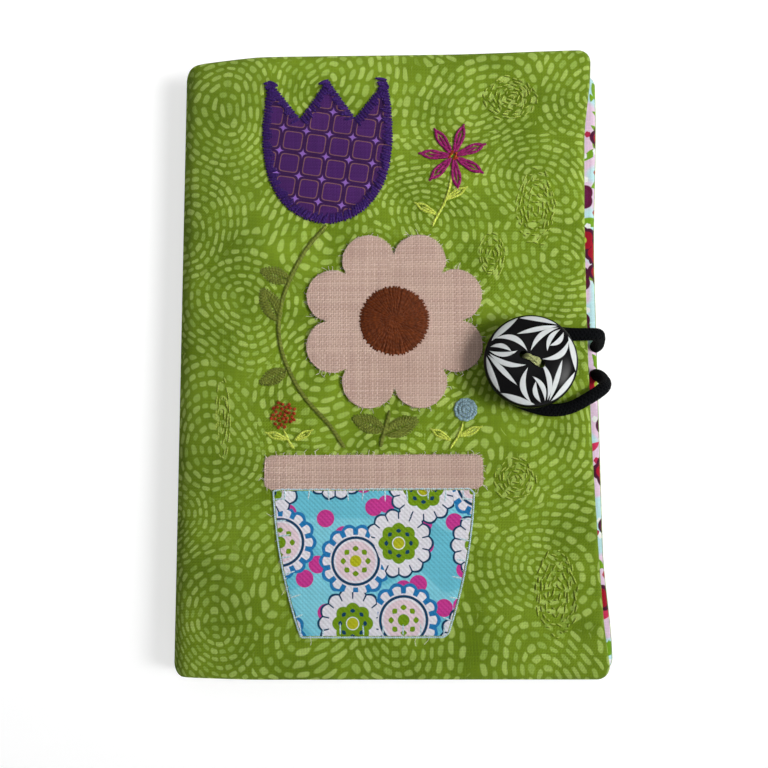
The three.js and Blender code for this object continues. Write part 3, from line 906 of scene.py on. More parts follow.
def cloth_grid(columns, rows, place, flip=False, mirror_map=1.0):
    """A grid of cloth with its flat measures as its map, laid where place says."""
    bm = bmesh.new()
    flat_map = bm.loops.layers.uv.new("cloth")
    bmesh.ops.create_grid(bm, x_segments=len(columns) - 1, y_segments=len(rows) - 1, size=1.0)
    flat = {}
    for vert in bm.verts:
        column = round((vert.co.x + 1) / 2 * (len(columns) - 1))
        row = round((vert.co.y + 1) / 2 * (len(rows) - 1))
        flat[vert] = (columns[column], rows[row])
    for face in bm.faces:
        for loop in face.loops:
            along, across = flat[loop.vert]
            loop[flat_map].uv = (along * mirror_map * MM, across * MM)
    for vert, (along, across) in flat.items():
        vert.co = Vector(place(along, across)) * MM
    if flip:
        bmesh.ops.reverse_faces(bm, faces=bm.faces[:])
    bm.normal_update()
    return bm


def thickened(bm, thickness):
    """The sheet given its thickness on the side away from its faces."""
    bmesh.ops.solidify(bm, geom=bm.faces[:], thickness=thickness * MM)
    return bm


class Line:
    """A line across the cover, seen from its tail, by the length along it from the middle of the spine."""

    def __init__(self, points, inward):
        self.points = [Vector(point) for point in points]
        self.inward = inward
        self.lengths = lengths_along(self.points)
        self.length = self.lengths[-1]

    def find(self, length):
        """The number of the stretch that holds a length."""
        low = 0
        high = len(self.lengths) - 2
        while low < high:
            middle = (low + high + 1) // 2
            if self.lengths[middle] <= length:
                low = middle
            else:
                high = middle - 1
        return low

    def spot(self, length):
        """The point at a length."""
        start = self.find(length)
        span = self.lengths[start + 1] - self.lengths[start]
        return self.points[start].lerp(self.points[start + 1], (length - self.lengths[start]) / span)

    def at(self, length):
        """The point at a length, and the way into the book there."""
        near = 0.2
        before = self.spot(max(length - near, 0.0))
        after = self.spot(min(length + near, self.length))
        way = (after - before).normalized()
        return self.spot(min(length, self.length)), Vector((way.y, -way.x)) * self.inward

    def length_at(self, x):
        """The length at which the line, past the fold beside the spine, reaches x."""
        fold_end = 9.0
        places = zip(self.points, self.lengths)
        return next(length for point, length in places if point.x > x and length > fold_end)


def slope_height(x, depth):
    """Height of the front at a depth: flat as far as the soft crease, then down towards the spine."""
    crease = CREASE_X + depth * math.tan(SLOPE / 2)
    fall = CREASE_SOFTNESS * math.log1p(math.exp((crease - x) / CREASE_SOFTNESS))
    return BOOK_THICKNESS - depth - math.tan(SLOPE) * fall


def fold_points(fold, radius, end_turn, depth):
    """From the spine's middle along the spine and round one of its folds, at a depth in the cover."""
    points = [(SPINE_X + depth, z) for z in stepped(SPINE_MIDDLE, fold[1], 0.3)]
    radius -= depth
    for turn in stepped(math.pi, end_turn, 0.3 / radius)[1:]:
        points.append((fold[0] + radius * math.cos(turn), fold[1] + radius * math.sin(turn)))
    return points


def front_line(depth):
    """From the spine's middle over the front fold to the front fore-edge, at a depth in the cover."""
    points = fold_points(FRONT_FOLD, FRONT_FOLD_RADIUS, math.pi / 2 + SLOPE, depth)
    run = stepped(points[-1][0], FRONT_FORE_EDGE, 0.4)[1:]
    return Line(points + [(x, slope_height(x, depth)) for x in run], 1)


def back_line(depth):
    """From the spine's middle round the back fold to the back fore-edge, at a depth in the cover."""
    points = fold_points(BACK_FOLD, BACK_FOLD_RADIUS, 1.5 * math.pi, depth)
    run = stepped(points[-1][0], BACK_FORE_EDGE, 0.4)[1:]
    return Line(points + [(x, depth) for x in run], -1)


def rounded_edge(out):
    """How far over and how deep cloth lies that goes out past the corner's middle by that length."""
    flat = CORNER - EDGE_ROUND
    if out <= flat:
        return out, 0.0
    quarter = EDGE_ROUND * math.pi / 2
    side = COVER - 2 * EDGE_ROUND
    out -= flat
    if out <= quarter:
        turn = out / EDGE_ROUND
        return flat + EDGE_ROUND * math.sin(turn), EDGE_ROUND * (1 - math.cos(turn))
    out -= quarter
    if out <= side:
        return CORNER, EDGE_ROUND + out
    turn = (out - side) / EDGE_ROUND
    return flat + EDGE_ROUND * math.cos(turn), EDGE_ROUND + side + EDGE_ROUND * math.sin(turn)


def turned_under(along, across, fore_core, head_core, reach):
    """Where a point of the flat cloth comes to lie, with the cloth turned round the cover's edges."""
    out_fore = max(along - fore_core, 0.0) / reach
    out_head = max(abs(across) - head_core, 0.0) / reach
    fore = out_fore * math.sqrt(1 - out_head**2 / 2)
    head = out_head * math.sqrt(1 - out_fore**2 / 2)
    away = math.hypot(fore, head)
    if away == 0:
        return along, across, 0.0
    over, depth = rounded_edge(away * reach)
    lies_along = min(along, fore_core) + over * fore / away
    lies_across = min(abs(across), head_core) + over * head / away
    return lies_along, math.copysign(lies_across, across), depth


def edge_columns(core, reach):
    """The columns over a turned edge."""
    return [core + reach * number / EDGE_COLUMNS for number in range(1, EDGE_COLUMNS + 1)]


def toward_fore_edge(x, fore_edge):
    """How far x is on the way from where a cover begins to bow to its fore-edge."""
    return ease((x - BOW_START) / (fore_edge - BOW_START))


def front_bow(x, y):
    """The front's fore-edge isn't quite straight: it draws in near the loop and swings out at its ends."""
    middle = 12
    bow = -1.0 + 1.9 * ((y - middle) / HALF_HEIGHT) ** 2
    head_swing = 1.25 * ease((y - 52) / 18)
    tail_swing = 0.5 * ease((-y - 62) / 10)
    return (bow + head_swing + tail_swing) * toward_fore_edge(x, FRONT_FORE_EDGE)


def back_bow(x, y):
    """The back's fore-edge does the same."""
    bow = -0.2
    head_swing = 1.6 * ease((y - 22) / 46)
    tail_swing = 1.5 * ease((-y - 45) / 26)
    return (bow + head_swing + tail_swing) * toward_fore_edge(x, BACK_FORE_EDGE)


def lift(x, y):
    """The head corner of the front stands a little off the leaves."""
    height = 1.5
    toward_fore = ease((x - 12) / 36)
    toward_head = ease((y - 25) / 50)
    return height * toward_fore * toward_head


def tuck(x, y):
    """The ends of the spine draw in where the cover is folded, so that its corners are round from above."""
    short = clamped((SPINE_ROUND - x + SPINE_X) / SPINE_ROUND)
    drawn = SPINE_ROUND * (1 - math.sqrt(1 - short**2))
    toward_end = ease((abs(y) - HALF_HEIGHT + TUCK_HEIGHT) / TUCK_HEIGHT)
    return -math.copysign(drawn * toward_end, y)


def unevenness(x, y, size, layer):
    """Smooth noise over the front, with swells of about that size."""
    return noise.noise(Vector((x / size, y / size, layer)))


def puff(x, y):
    """Soft uneven swells of the padded front, and the seam allowance that shows along its edges."""
    inset = min(FRONT_FORE_EDGE - x, HALF_HEIGHT - abs(y))
    swell = 0.36 * unevenness(x, y, size=27, layer=4.2)
    fine = 0.12 * unevenness(x, y, size=8, layer=1.7)
    pull = -0.7 * bump(math.hypot(x - BUTTON_X, y - BUTTON_Y), width=8)
    ridge = 0.22 * bump(inset - 4.2, width=2.2)
    pucker = 0.10 * unevenness(x, y, size=4.5, layer=9.1) * bump(inset - 3.0, width=2.4)
    return ease(inset / 6) * (swell + fine + pull) + ease(inset / 2) * (ridge + pucker)


def front_top(x, y):
    """Height of the front cotton's upper face."""
    return slope_height(x, 0.0) + lift(x, y) + puff(x, y)


def on_front(x, y, height=0.0):
    """A point of the front, raised by a height."""
    return Vector((x, y, front_top(x, y) + height))


def front_shaped(padded):
    """How the front's layers leave their plain lines: only the outer cotton is padded out."""

    def shaped_at(x, y, z):
        swell = puff(x, y) if padded else 0.0
        return x + front_bow(x, y), y, z + lift(x, y) + swell

    return shaped_at


def back_shaped(x, y, z):
    return x + back_bow(x, y), y + tuck(x, y), z


def spine_shaped(x, y, z):
    return x, y + tuck(x, y), z


def shoulder(length):
    """How far the outer cloth lies inside its line over the front fold, so that the fold is rounder."""
    share = clamped((length - SHOULDER_START) / SHOULDER_SPAN)
    return SHOULDER_DEPTH * math.sin(math.pi * share) ** 2


def cover_sheet(line, begin, end, reach, step, shaped_at, flip, mirror_map, round_fold):
    """Cloth over a zone of the cover, from one length along its line to another, or to the fore-edge."""
    to_fore_edge = end is None
    fore_core = line.length - CORNER if to_fore_edge else end
    columns = stepped(begin, fore_core, step)
    if to_fore_edge:
        columns += edge_columns(fore_core, reach)
    head_core = HALF_HEIGHT - CORNER
    turned = edge_columns(head_core, reach)
    rows = [-row for row in reversed(turned)] + stepped(-head_core, head_core, 2.0) + turned

    def place(along, across):
        lies_along, y, depth = turned_under(along, across, fore_core, head_core, reach)
        spot, inward = line.at(lies_along)
        depth += shoulder(lies_along) if round_fold else 0.0
        return shaped_at(spot.x + inward.x * depth, y, spot.y + inward.y * depth)

    return cloth_grid(columns, rows, place, flip, mirror_map)


def fleece_sheet(line, begin, end, step, shaped_at, flip):
    """Batting in a zone of the cover, kept inside the turned edges."""
    stop = line.length - BATTING_INSET if end is None else end
    rows = stepped(-HALF_HEIGHT + BATTING_INSET, HALF_HEIGHT - BATTING_INSET, 3.0)

    def place(along, across):
        spot, _ = line.at(along)
        return shaped_at(spot.x, across, spot.y)

    return cloth_grid(stepped(begin, stop, step), rows, place, flip)


# Cover


def bend(thing, fold, body_a, body_b):
    """Bakes the piece's place into its mesh."""
    start, end = fold
    [value * MM for value in start]
    [value * MM for value in end]
    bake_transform(thing)


def flat_size(line, begin, end, reach):
    """The size that the cloth of a zone was cut to."""
    width = (line.length - CORNER + reach if end is None else end) - begin
    return width * MM, 2 * (HALF_HEIGHT - CORNER + reach) * MM


def fold_at(line, low, high):
    """The two points of a line between which a fold bends."""
    first, _ = line.at(low)
    second, _ = line.at(high)
    return (first.x, 0.0, first.y), (second.x, 0.0, second.y)


def cover_zones(depth):
    """The zones of the cover at a depth: line, start, end, fold, the fold's two bodies, and grid step."""
    back = back_line(depth)
    front = front_line(depth)
    spine_half = FRONT_FOLD[1] - SPINE_MIDDLE
    back_arc = (BACK_FOLD_RADIUS - depth) * math.pi / 2
    front_arc = (FRONT_FOLD_RADIUS - depth) * (math.pi / 2 - SLOPE)
    slope_middle = front.length_at(SLOPE_MIDDLE)
    crease = front.length_at(CREASE_X)
    back_fold = fold_at(back, spine_half + back_arc, spine_half)
    front_fold = fold_at(front, spine_half, spine_half + front_arc)
    crease_fold = fold_at(front, crease - CREASE_HALF, crease + CREASE_HALF)
    return {
        "back": (back, 0.0, None, back_fold, "back_cover", "spine", 1.2),
        "spine": (front, 0.0, slope_middle, front_fold, "spine", "front_slope", 0.6),
        "front": (front, slope_middle, None, crease_fold, "front_slope", "front_cover", 1.5),
    }


def sew_cover(cotton, lining, fleece):
    """The outer cotton, the lining and the batting, each in the zones of the cover."""
    stands_for = {
        "back": ["back_{}", "back_fold_{}"],
        "spine": ["spine_{}", "front_fold_{}"],
        "front": ["front_slope_{}", "front_{}"],
    }
    layers = [
        ("cloth", 0.0, COTTON_REACH, COTTON, cotton, "cover_cotton"),
        ("lining", COVER, LINING_REACH, COTTON, lining, "lining_cotton"),
        ("batting", BATTING_DEPTH, None, BATTING, fleece, "batting"),
    ]
    for layer, depth, reach, thickness, material, slot in layers:
        shapes = {"front": front_shaped(layer == "cloth"), "back": back_shaped, "spine": spine_shaped}
        for zone, values in cover_zones(depth).items():
            line, begin, end, fold, body_a, body_b, step = values
            looks_down = (zone == "back") != (layer == "lining")
            if layer == "batting":
                bm = fleece_sheet(line, begin, end, step * 1.5, shapes[zone], looks_down)
            else:
                facing = Line(line.points, -line.inward if layer == "lining" else line.inward)
                mirror_map = -1.0 if zone == "back" else 1.0
                round_fold = layer == "cloth" and zone == "spine"
                bm = cover_sheet(
                    facing, begin, end, reach, step, shapes[zone], looks_down, mirror_map, round_fold
                )
            sheet = piece(f"{zone}_{layer}_sewn", thickened(bm, thickness), material)
            bend(sheet, fold, body_a, body_b)
            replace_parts(sheet, *[node.format(layer) for node in stands_for[zone]])
            if layer == "batting":
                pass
            else:
                flat_size(line, begin, end, reach)


# Felt leaves


def leaf_middle(number, x):
    """Height of the middle of a leaf: level past the crease, and sloped from there to its root."""
    root_x, root_z = LEAF_ROOTS[number]
    return root_z + (LEAF_FLATS[number] - root_z) * clamped((x - root_x) / (CREASE_X - root_x))


def felt_leaf(number, felt):
    """A leaf with pinked edges, thinner towards its root."""
    root_x = LEAF_ROOTS[number][0]
    begin = root_x - LEAF_TUCK
    columns = stepped(begin, LEAF_FORE_EDGE - PINKING_MARGIN, PINKING_PITCH) + [LEAF_FORE_EDGE]
    side = LEAF_HALF_HEIGHT - PINKING_MARGIN
    rows = [-LEAF_HALF_HEIGHT] + stepped(-side, side, PINKING_PITCH) + [LEAF_HALF_HEIGHT]

    def place(x, y):
        at_side = abs(y) == LEAF_HALF_HEIGHT
        at_fore_edge = x == LEAF_FORE_EDGE
        if at_side and not at_fore_edge and columns.index(x) % 2:
            y = math.copysign(LEAF_HALF_HEIGHT - PINKING_DEPTH, y)
        if at_fore_edge and not at_side and rows.index(y) % 2:
            x -= PINKING_DEPTH
        ripple = 0.12 * unevenness(x, y, size=22, layer=3.0 * number)
        return x, y, leaf_middle(number, x) + LEAF_FELT / 2 + ripple

    bm = thickened(cloth_grid(columns, rows, place), LEAF_FELT)
    thin = LEAF_ROOT_FELT / LEAF_FELT
    for vert in bm.verts:
        x = vert.co.x / MM
        share = thin + (1 - thin) * ease((x - root_x) / (CREASE_X - root_x))
        middle = leaf_middle(number, x) * MM
        vert.co.z = middle + (vert.co.z - middle) * share
    leaf = piece(f"felt_leaf_{number + 1}_cut", bm, felt)
    dressed(leaf, f"leaf_{number + 1}", f"felt_leaf_{number + 1}")


def felt_gutter(number, lower, upper, felt):
    """The folded back of a felt sheet, from the root of its lower leaf round to its upper leaf's."""
    root_x, lower_z = LEAF_ROOTS[lower]
    upper_z = LEAF_ROOTS[upper][1]
    low = lower_z - LEAF_ROOT_FELT / 2
    high = upper_z + LEAF_ROOT_FELT / 2
    begin = root_x - GUTTER_GAP
    back = begin - GUTTER_DEPTH
    turn = GUTTER_TURN
    corner = turn * 0.3
    half = [(begin, low), (back + turn, low), (back + corner, low + corner), (back, low + turn)]
    corners = half + [(x, high - (z - low)) for x, z in reversed(half)]
    line = Line(corners, 1)

    def place(along, across):
        spot = line.spot(along)
        return spot.x, across, spot.y

    rows = stepped(-LEAF_HALF_HEIGHT, LEAF_HALF_HEIGHT, 3.0)
    bm = thickened(cloth_grid(stepped(0.0, line.length, 0.35), rows, place), LEAF_ROOT_FELT)
    return dressed(piece(f"felt_fold_{number}_bent", bm, felt), "spine", f"felt_fold_{number}")


# Threads


def smooth_route(points, steps):
    """A smooth way through all the points."""
    points = [Vector(point) for point in points]
    way = []
    for number in range(len(points) - 1):
        before = points[max(number - 1, 0)]
        start = points[number]
        end = points[number + 1]
        after = points[min(number + 2, len(points) - 1)]
        for step in range(steps):
            t = step / steps
            pull = (end - before) * t + (2 * before - 5 * start + 4 * end - after) * t**2
            pull += (3 * start - before - 3 * end + after) * t**3
            way.append(start + pull / 2)
    return way + [points[-1]]


def tube(route, diameter, sides):
    """A round cord along a route, mapped by the length along it and the way round it."""
    lengths = lengths_along(route)
    frames = {}
    side = None
    for number, length in enumerate(lengths):
        way = (route[min(number + 1, len(route) - 1)] - route[max(number - 1, 0)]).normalized()
        side = way.orthogonal() if side is None else side - way * side.dot(way)
        side.normalize()
        frames[length] = (route[number], side.copy(), way.cross(side))
    girth = math.pi * diameter

    def place(along, across):
        middle, first, second = frames[along]
        turn = across / girth * FULL_TURN
        return middle + (first * math.cos(turn) + second * math.sin(turn)) * diameter / 2

    bm = cloth_grid(lengths, stepped(0.0, girth, girth / sides), place)
    weld(bm)
    bmesh.ops.holes_fill(bm, edges=[edge for edge in bm.edges if edge.is_boundary], sides=sides)
    bmesh.ops.recalc_face_normals(bm, faces=bm.faces[:])
    return bm


def strand(route, diameter, sides):
    """A thin tube with the map that a thread's twist follows."""
    twist_length = 8 * diameter * MM
    girth = math.pi * diameter * MM
    bm = tube(route, diameter, sides)
    twist = bm.loops.layers.uv.new("thread")
    lengths = bm.loops.layers.uv["cloth"]
    for face in bm.faces:
        for loop in face.loops:
            along, around = loop[lengths].uv
            loop[twist].uv = (around / girth, along / twist_length)
    return bm


def elastic_loop(material):
    """The cord, which bends where it leaves the seam of the back cover."""
    route = smooth_route(ELASTIC_ROUTE, 6)
    cord = piece("elastic_loop_braid", tube(route, ELASTIC_DIAMETER, 16), material)
    bend(cord, ELASTIC_BEND, "back_cover", "loop")
    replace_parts(cord, "elastic_loop")
    length = lengths_along(route)[-1]
    [value * MM for value in ELASTIC_ROUTE[0]]
    [point * MM for point in route]


def stitch_pattern():
    """One plump stitch of unit size along z, with its own map for the twist."""
    bm = bmesh.new()
    bm.loops.layers.uv.new("thread")
    bmesh.ops.create_uvsphere(bm, u_segments=6, v_segments=6, radius=0.5, calc_uvs=True)
    mesh = bpy.data.meshes.new("stitch_pattern")
    bm.to_mesh(mesh)
    bm.free()
    return mesh


PATTERN = stitch_pattern()


class Sewing:
    """Stitches of one thread, gathered into one piece."""

    def __init__(self, name, material, seed):
        self.name = name
        self.material = material
        self.chance = random.Random(seed)
        self.bm = bmesh.new()
        self.bm.loops.layers.uv.new("thread")

    def stitch(self, start, end, width, height=None):
        """A stitch from one point on the cloth to another, half sunk into it."""
        start = Vector(start)
        end = Vector(end)
        way = end - start
        length = way.length
        way.normalize()
        up = Vector((0.0, 0.0, 1.0)) - way * way.z
        up.normalize()
        side = up.cross(way)
        turned = Matrix((side, up, way)).transposed().to_4x4()
        sized = Matrix.Diagonal((width, height or width, length, 1.0))
        placed = Matrix.Translation((start + end) / 2 * MM) @ Matrix.Scale(MM, 4) @ turned @ sized
        before = len(self.bm.verts)
        self.bm.from_mesh(PATTERN)
        self.bm.verts.ensure_lookup_table()
        bmesh.ops.transform(self.bm, matrix=placed, verts=self.bm.verts[before:])

    def sew(self, start, end, rise, width, height=None, end_rise=None):
        """A stitch between two places of the front, each raised off its cotton."""
        end_rise = rise if end_rise is None else end_rise
        self.stitch(on_front(*start, rise), on_front(*end, end_rise), width, height)

    def jitter(self, amount):
        return self.chance.uniform(-amount, amount)

    def done(self, body="front_cover", slot="sewing_thread"):
        made = piece(self.name, self.bm, self.material, THREAD_EDGE)
        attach(made, body)
        return made


def walk(points, spacing, closed=True):
    """Even places along an outline, each with the way along it there."""
    points = [Vector(point) for point in points]
    if closed:
        points.append(points[0])
    total = lengths_along(points)[-1]
    count = max(2, round(total / spacing))
    gap = total / count
    wanted = 0.0
    passed = 0.0
    for before, after in zip(points, points[1:]):
        span = (after - before).length
        while wanted <= passed + span + 1e-6 and wanted < total - gap / 2:
            share = (wanted - passed) / span if span else 0.0
            yield before.lerp(after, share), (after - before).normalized()
            wanted += gap
        passed += span


# Cloth shapes on the front


def pot_half_width(share):
    """Half width of the pot from its foot, 0, to its top, 1."""
    foot = POT_BASE / 2
    waist = (POT_BASE + POT_TOP) / 4 + POT_BULGE
    top = POT_TOP / 2
    return foot * (1 - share) ** 2 + 2 * waist * share * (1 - share) + top * share**2


def pot_point(across, up):
    return POT_X + across * pot_half_width(up), POT_FOOT + up * POT_HEIGHT


def band_point(across, up):
    reach = max(abs(up - 0.5) * BAND_HEIGHT - (BAND_HEIGHT / 2 - BAND_CORNER), 0.0)
    half = BAND_WIDTH / 2 - BAND_CORNER + math.sqrt(max(BAND_CORNER**2 - reach**2, 0.0))
    return POT_X + across * half, BAND_FOOT + up * BAND_HEIGHT


def drawn_curve(share, first, second, end):
    """A curve from 0 to its end, drawn towards the first value and then towards the second."""
    rest = 1 - share
    return 3 * first * share * rest**2 + 3 * second * share**2 * rest + end * share**3


def tulip_half_width(share):
    """Half width of the tulip from its foot, 0, to its points, 1."""
    return TULIP_WIDTH / 2 * drawn_curve(share, 1.1, 1.15, 0.95)


def tulip_height(share):
    return TULIP_HEIGHT * drawn_curve(share, 0.05, 0.55, 1.0)


def tulip_point(across, up):
    """The sides follow the petal's curve, and the top edge has three points with two notches."""
    places = [-1.0, -TULIP_NOTCH_PLACE, 0.0, TULIP_NOTCH_PLACE, 1.0]
    drops = [0.0, TULIP_NOTCH, 0.0, TULIP_NOTCH, 0.0]
    number = sum(across >= place for place in places[1:-1])
    share = (across - places[number]) / (places[number + 1] - places[number])
    drop = drops[number] + (drops[number + 1] - drops[number]) * share
    height = tulip_height(up)
    return TULIP[0] + across * tulip_half_width(up), TULIP[1] + height - drop * (height / TULIP_HEIGHT) ** 2


def daisy_radius(turn):
    swell = abs(math.sin(turn * DAISY_PETALS / 2)) ** 0.6
    return DAISY_VALLEY + (DAISY_TIP - DAISY_VALLEY) * swell


def daisy_point(turn, out):
    reach = out * daisy_radius(turn)
    return DAISY[0] + reach * math.cos(turn), DAISY[1] + reach * math.sin(turn)


def sides_outline(point):
    """The outline of a shape that is given by its way across, -1 to 1, and up, 0 to 1."""
    steps = 60
    across = stepped(-1.0, 1.0, 2 / steps)
    up = stepped(0.0, 1.0, 1 / steps)
    foot = [point(value, 0.0) for value in across]
    right = [point(1.0, value) for value in up[1:]]
    top = [point(value, 1.0) for value in reversed(across[:-1])]
    left = [point(-1.0, value) for value in reversed(up[1:-1])]
    return foot + right + top + left


def daisy_outline():
    steps = 256
    return [daisy_point(FULL_TURN * number / steps, 1.0) for number in range(steps)]


def patch(name, columns, rows, point, material, node, closed=False):
    """A cloth shape laid on the front, its rim drawn down a little by its stitches."""
    drawn_down = 0.12

    def place(across, up):
        x, y = point(across, up)
        at_side = across in (columns[0], columns[-1]) and not closed
        at_end = up in (rows[0], rows[-1]) and up != 0.0
        rim = drawn_down if at_side or at_end else 0.0
        soft = 0.06 * unevenness(x, y, size=6, layer=7.7)
        return x, y, front_top(x, y) + PATCH_LIFT + PATCH + soft - rim

    bm = cloth_grid(columns, rows, place)
    weld(bm)
    return dressed(piece(name, thickened(bm, PATCH), material), "front_cover", node)


def cut_size(sheet, area):
    """Turns a laid shape's area into square metres, and keeps nothing."""
    area * MM * MM


def lay_pot(linen_cloth, pot_print):
    """The pot, and the band over its top."""
    across = stepped(-1.0, 1.0, 2 / 32)
    up = stepped(0.0, 1.0, 1 / 26)
    band_up = stepped(0.0, 1.0, 1 / 10)
    pot = patch("pot_cloth", across, up, pot_point, pot_print, "pot_patch")
    band = patch("pot_band_cloth", across, band_up, band_point, linen_cloth, "pot_band_patch")
    area = POT_HEIGHT * 2 * sum(pot_half_width(value) for value in up) / len(up)
    cut_size(pot, area)


def lay_tulip(purple):
    """The tulip, whose cut area is the one inside its sides less its two notches."""
    across = sorted(set(stepped(-1.0, 1.0, 2 / 34) + [-TULIP_NOTCH_PLACE, TULIP_NOTCH_PLACE]))
    up = stepped(0.0, 1.0, 1 / 26)
    rises = [tulip_height(value) for value in up]
    widths = [2 * tulip_half_width(value) for value in up]
    whole = sum((high - low) * wide for low, high, wide in zip(rises, rises[1:], widths[1:]))
    area = whole - TULIP_NOTCH * TULIP_WIDTH * 0.45
    tulip = patch("tulip_cloth", across, up, tulip_point, purple, "tulip_patch")
    cut_size(tulip, area)


def lay_daisy(linen_cloth):
    """The daisy, in rings round its middle."""
    turns = stepped(0.0, FULL_TURN, FULL_TURN / 128)
    outs = stepped(0.0, 1.0, 1 / 12)
    daisy = patch("daisy_cloth", turns, outs, daisy_point, linen_cloth, "daisy_patch", closed=True)
    area = math.pi * (0.5 * (DAISY_VALLEY + DAISY_TIP) + 1) ** 2
    cut_size(daisy, area)


# Embroidery


def patch_top(x, y):
    """A point on a cloth shape of the front."""
    return on_front(x, y, PATCH_LIFT + PATCH)


def edge_stitches(name, outline, thread, spacing, reach, width, slant, seed, along=False):
    """Stitches over the raw edge of a cloth shape, with a line of them beside it where along is set."""
    outside = 0.35
    outer_rise = 0.35
    sewing = Sewing(name, thread, seed)
    for spot, way in walk(outline, spacing):
        inward = left_of(way)
        spot = spot + way * sewing.jitter(spacing * 0.15)
        outer = spot - inward * (outside + sewing.jitter(0.12))
        inner = spot + inward * (reach + sewing.jitter(reach * 0.25)) + way * (slant + sewing.jitter(0.3))
        rise = Vector((0.0, 0.0, width * 0.3))
        sewing.stitch(on_front(*outer, outer_rise), patch_top(*inner) + rise, width, width * 0.9)
    if along:
        places = [spot - left_of(way) * outside for spot, way in walk(outline, 1.3)]
        for start, end in zip(places, places[1:] + places[:1]):
            over = (end - start) * 0.12
            sewing.sew(start - over, end + over, 0.45, width * 1.1, width * 0.9)
    sewing.done()


def frayed_edge(name, outline, thread, slot, spacing, longest, seed):
    """Loose ends of the weave that stand out past a raw edge, each with a bend in it."""
    sewing = Sewing(name, thread, seed)
    for spot, way in walk(outline, spacing):
        outward = -left_of(way)
        length = longest * sewing.chance.random() ** 2.5 + 0.4
        start = spot - outward * 0.4 + way * sewing.jitter(spacing)
        middle = start + (outward + way * sewing.jitter(0.7)) * (0.4 + length * 0.5)
        end = middle + (outward * sewing.chance.uniform(0.2, 1.0) + way * sewing.jitter(1.3)) * length * 0.5
        over = (end - middle) * 0.15
        sewing.stitch(patch_top(*start), on_front(*middle, 0.3), 0.15, 0.13)
        sewing.sew(middle - over, end, 0.3, 0.14, 0.12, end_rise=0.2 + sewing.chance.random() * 0.3)
    sewing.done(slot=slot)


def stem(sewing, points, width):
    """Stem stitch: each stitch starts beside the middle of the one before."""
    spacing = 1.7
    aside = 0.22
    route = smooth_route([(x, y, 0.0) for x, y in points], 10)
    spots = list(walk([point.xy for point in route], spacing, closed=False))
    for (spot, way), (later, _) in zip(spots, spots[2:] + spots[-1:]):
        beside = left_of(way) * aside
        sewing.sew(spot - beside, later + beside, 0.18, width, width * 0.75)


def leaf_stitches(sewing, foot, degrees, length):
    """A leaf of slanted stitches that meet on its rib."""
    width = 0.80
    spacing = 0.85
    foot = Vector(foot)
    way = heading(math.radians(degrees))
    beside = left_of(way)
    count = max(4, round(length / spacing))
    for number in range(count):
        share = (number + 0.5) / count
        rib = foot + way * length * share * 0.82
        half = 0.27 * length * math.sin(math.pi * min(0.2 + share * 0.75, 1.0))
        for side in (-1, 1):
            tip = rib + way * length * 0.2 + beside * side * half
            sewing.sew(rib, tip, 0.12, width, width * 0.8, end_rise=0.14)
    sewing.sew(foot + way * length * 0.72, foot + way * length, 0.14, width, width * 0.8)


def looped_petal(sewing, centre, degrees, length, half_width, width):
    """A long loop of thread round a straight stitch, held at its tip by a short one."""
    way = heading(math.radians(degrees))
    beside = left_of(way)
    foot = Vector(centre) + way * 1.0
    tip = Vector(centre) + way * length
    for side in (-1, 1):
        places = [(0.0, 0.12), (0.36, 0.75), (0.72, 1.0), (1.0, 0.15)]
        spots = [foot.lerp(tip, share) + beside * side * half_width * out for share, out in places]
        for start, end in zip(spots, spots[1:]):
            over = (end - start) * 0.16
            sewing.sew(start - over, end + over, 0.22, width, width * 0.8)
    sewing.sew(foot + way * 0.4, tip - way * 1.2, 0.15, width * 0.9, width * 0.6)
    sewing.sew(tip - way * 0.3, tip + way * 1.0, 0.3, width * 0.8, end_rise=0.1)


def knot(sewing, spot, size):
    """A thread wound on itself and pulled down."""
    way = heading(sewing.chance.uniform(0.0, math.pi)) * size * 0.5
    across = left_of(way) * 0.8
    sewing.sew(spot - way, spot + way, 0.3, size * 0.85, size * 0.7)
    sewing.sew(spot - across, spot + across, 0.5, size * 0.5, size * 0.45)


def knot_cluster(sewing, centre, radius, count, size):
    """Knots close together, spread as seeds are in a flower head."""
    golden_turn = 2.39996
    for number in range(count):
        out = radius * math.sqrt((number + 0.5) / count)
        spot = Vector(centre) + heading(number * golden_turn) * out
        knot(sewing, spot + Vector((sewing.jitter(0.15), sewing.jitter(0.15))), size)


def woven_bud(sewing, centre, radius):
    """Rounds of short stitches over each other, from the rim to the middle."""
    for round_number, (out, count) in enumerate([(0.86, 11), (0.58, 8), (0.30, 5)]):
        for number in range(count):
            turn = FULL_TURN * (number + 0.4 * round_number) / count
            half = math.pi / count * 1.5
            start = Vector(centre) + heading(turn - half) * radius * (out * 0.92)
            end = Vector(centre) + heading(turn + half) * radius * (out * 1.08)
            sewing.sew(start, end, 0.2 + 0.22 * round_number, radius * 0.34, radius * 0.28)


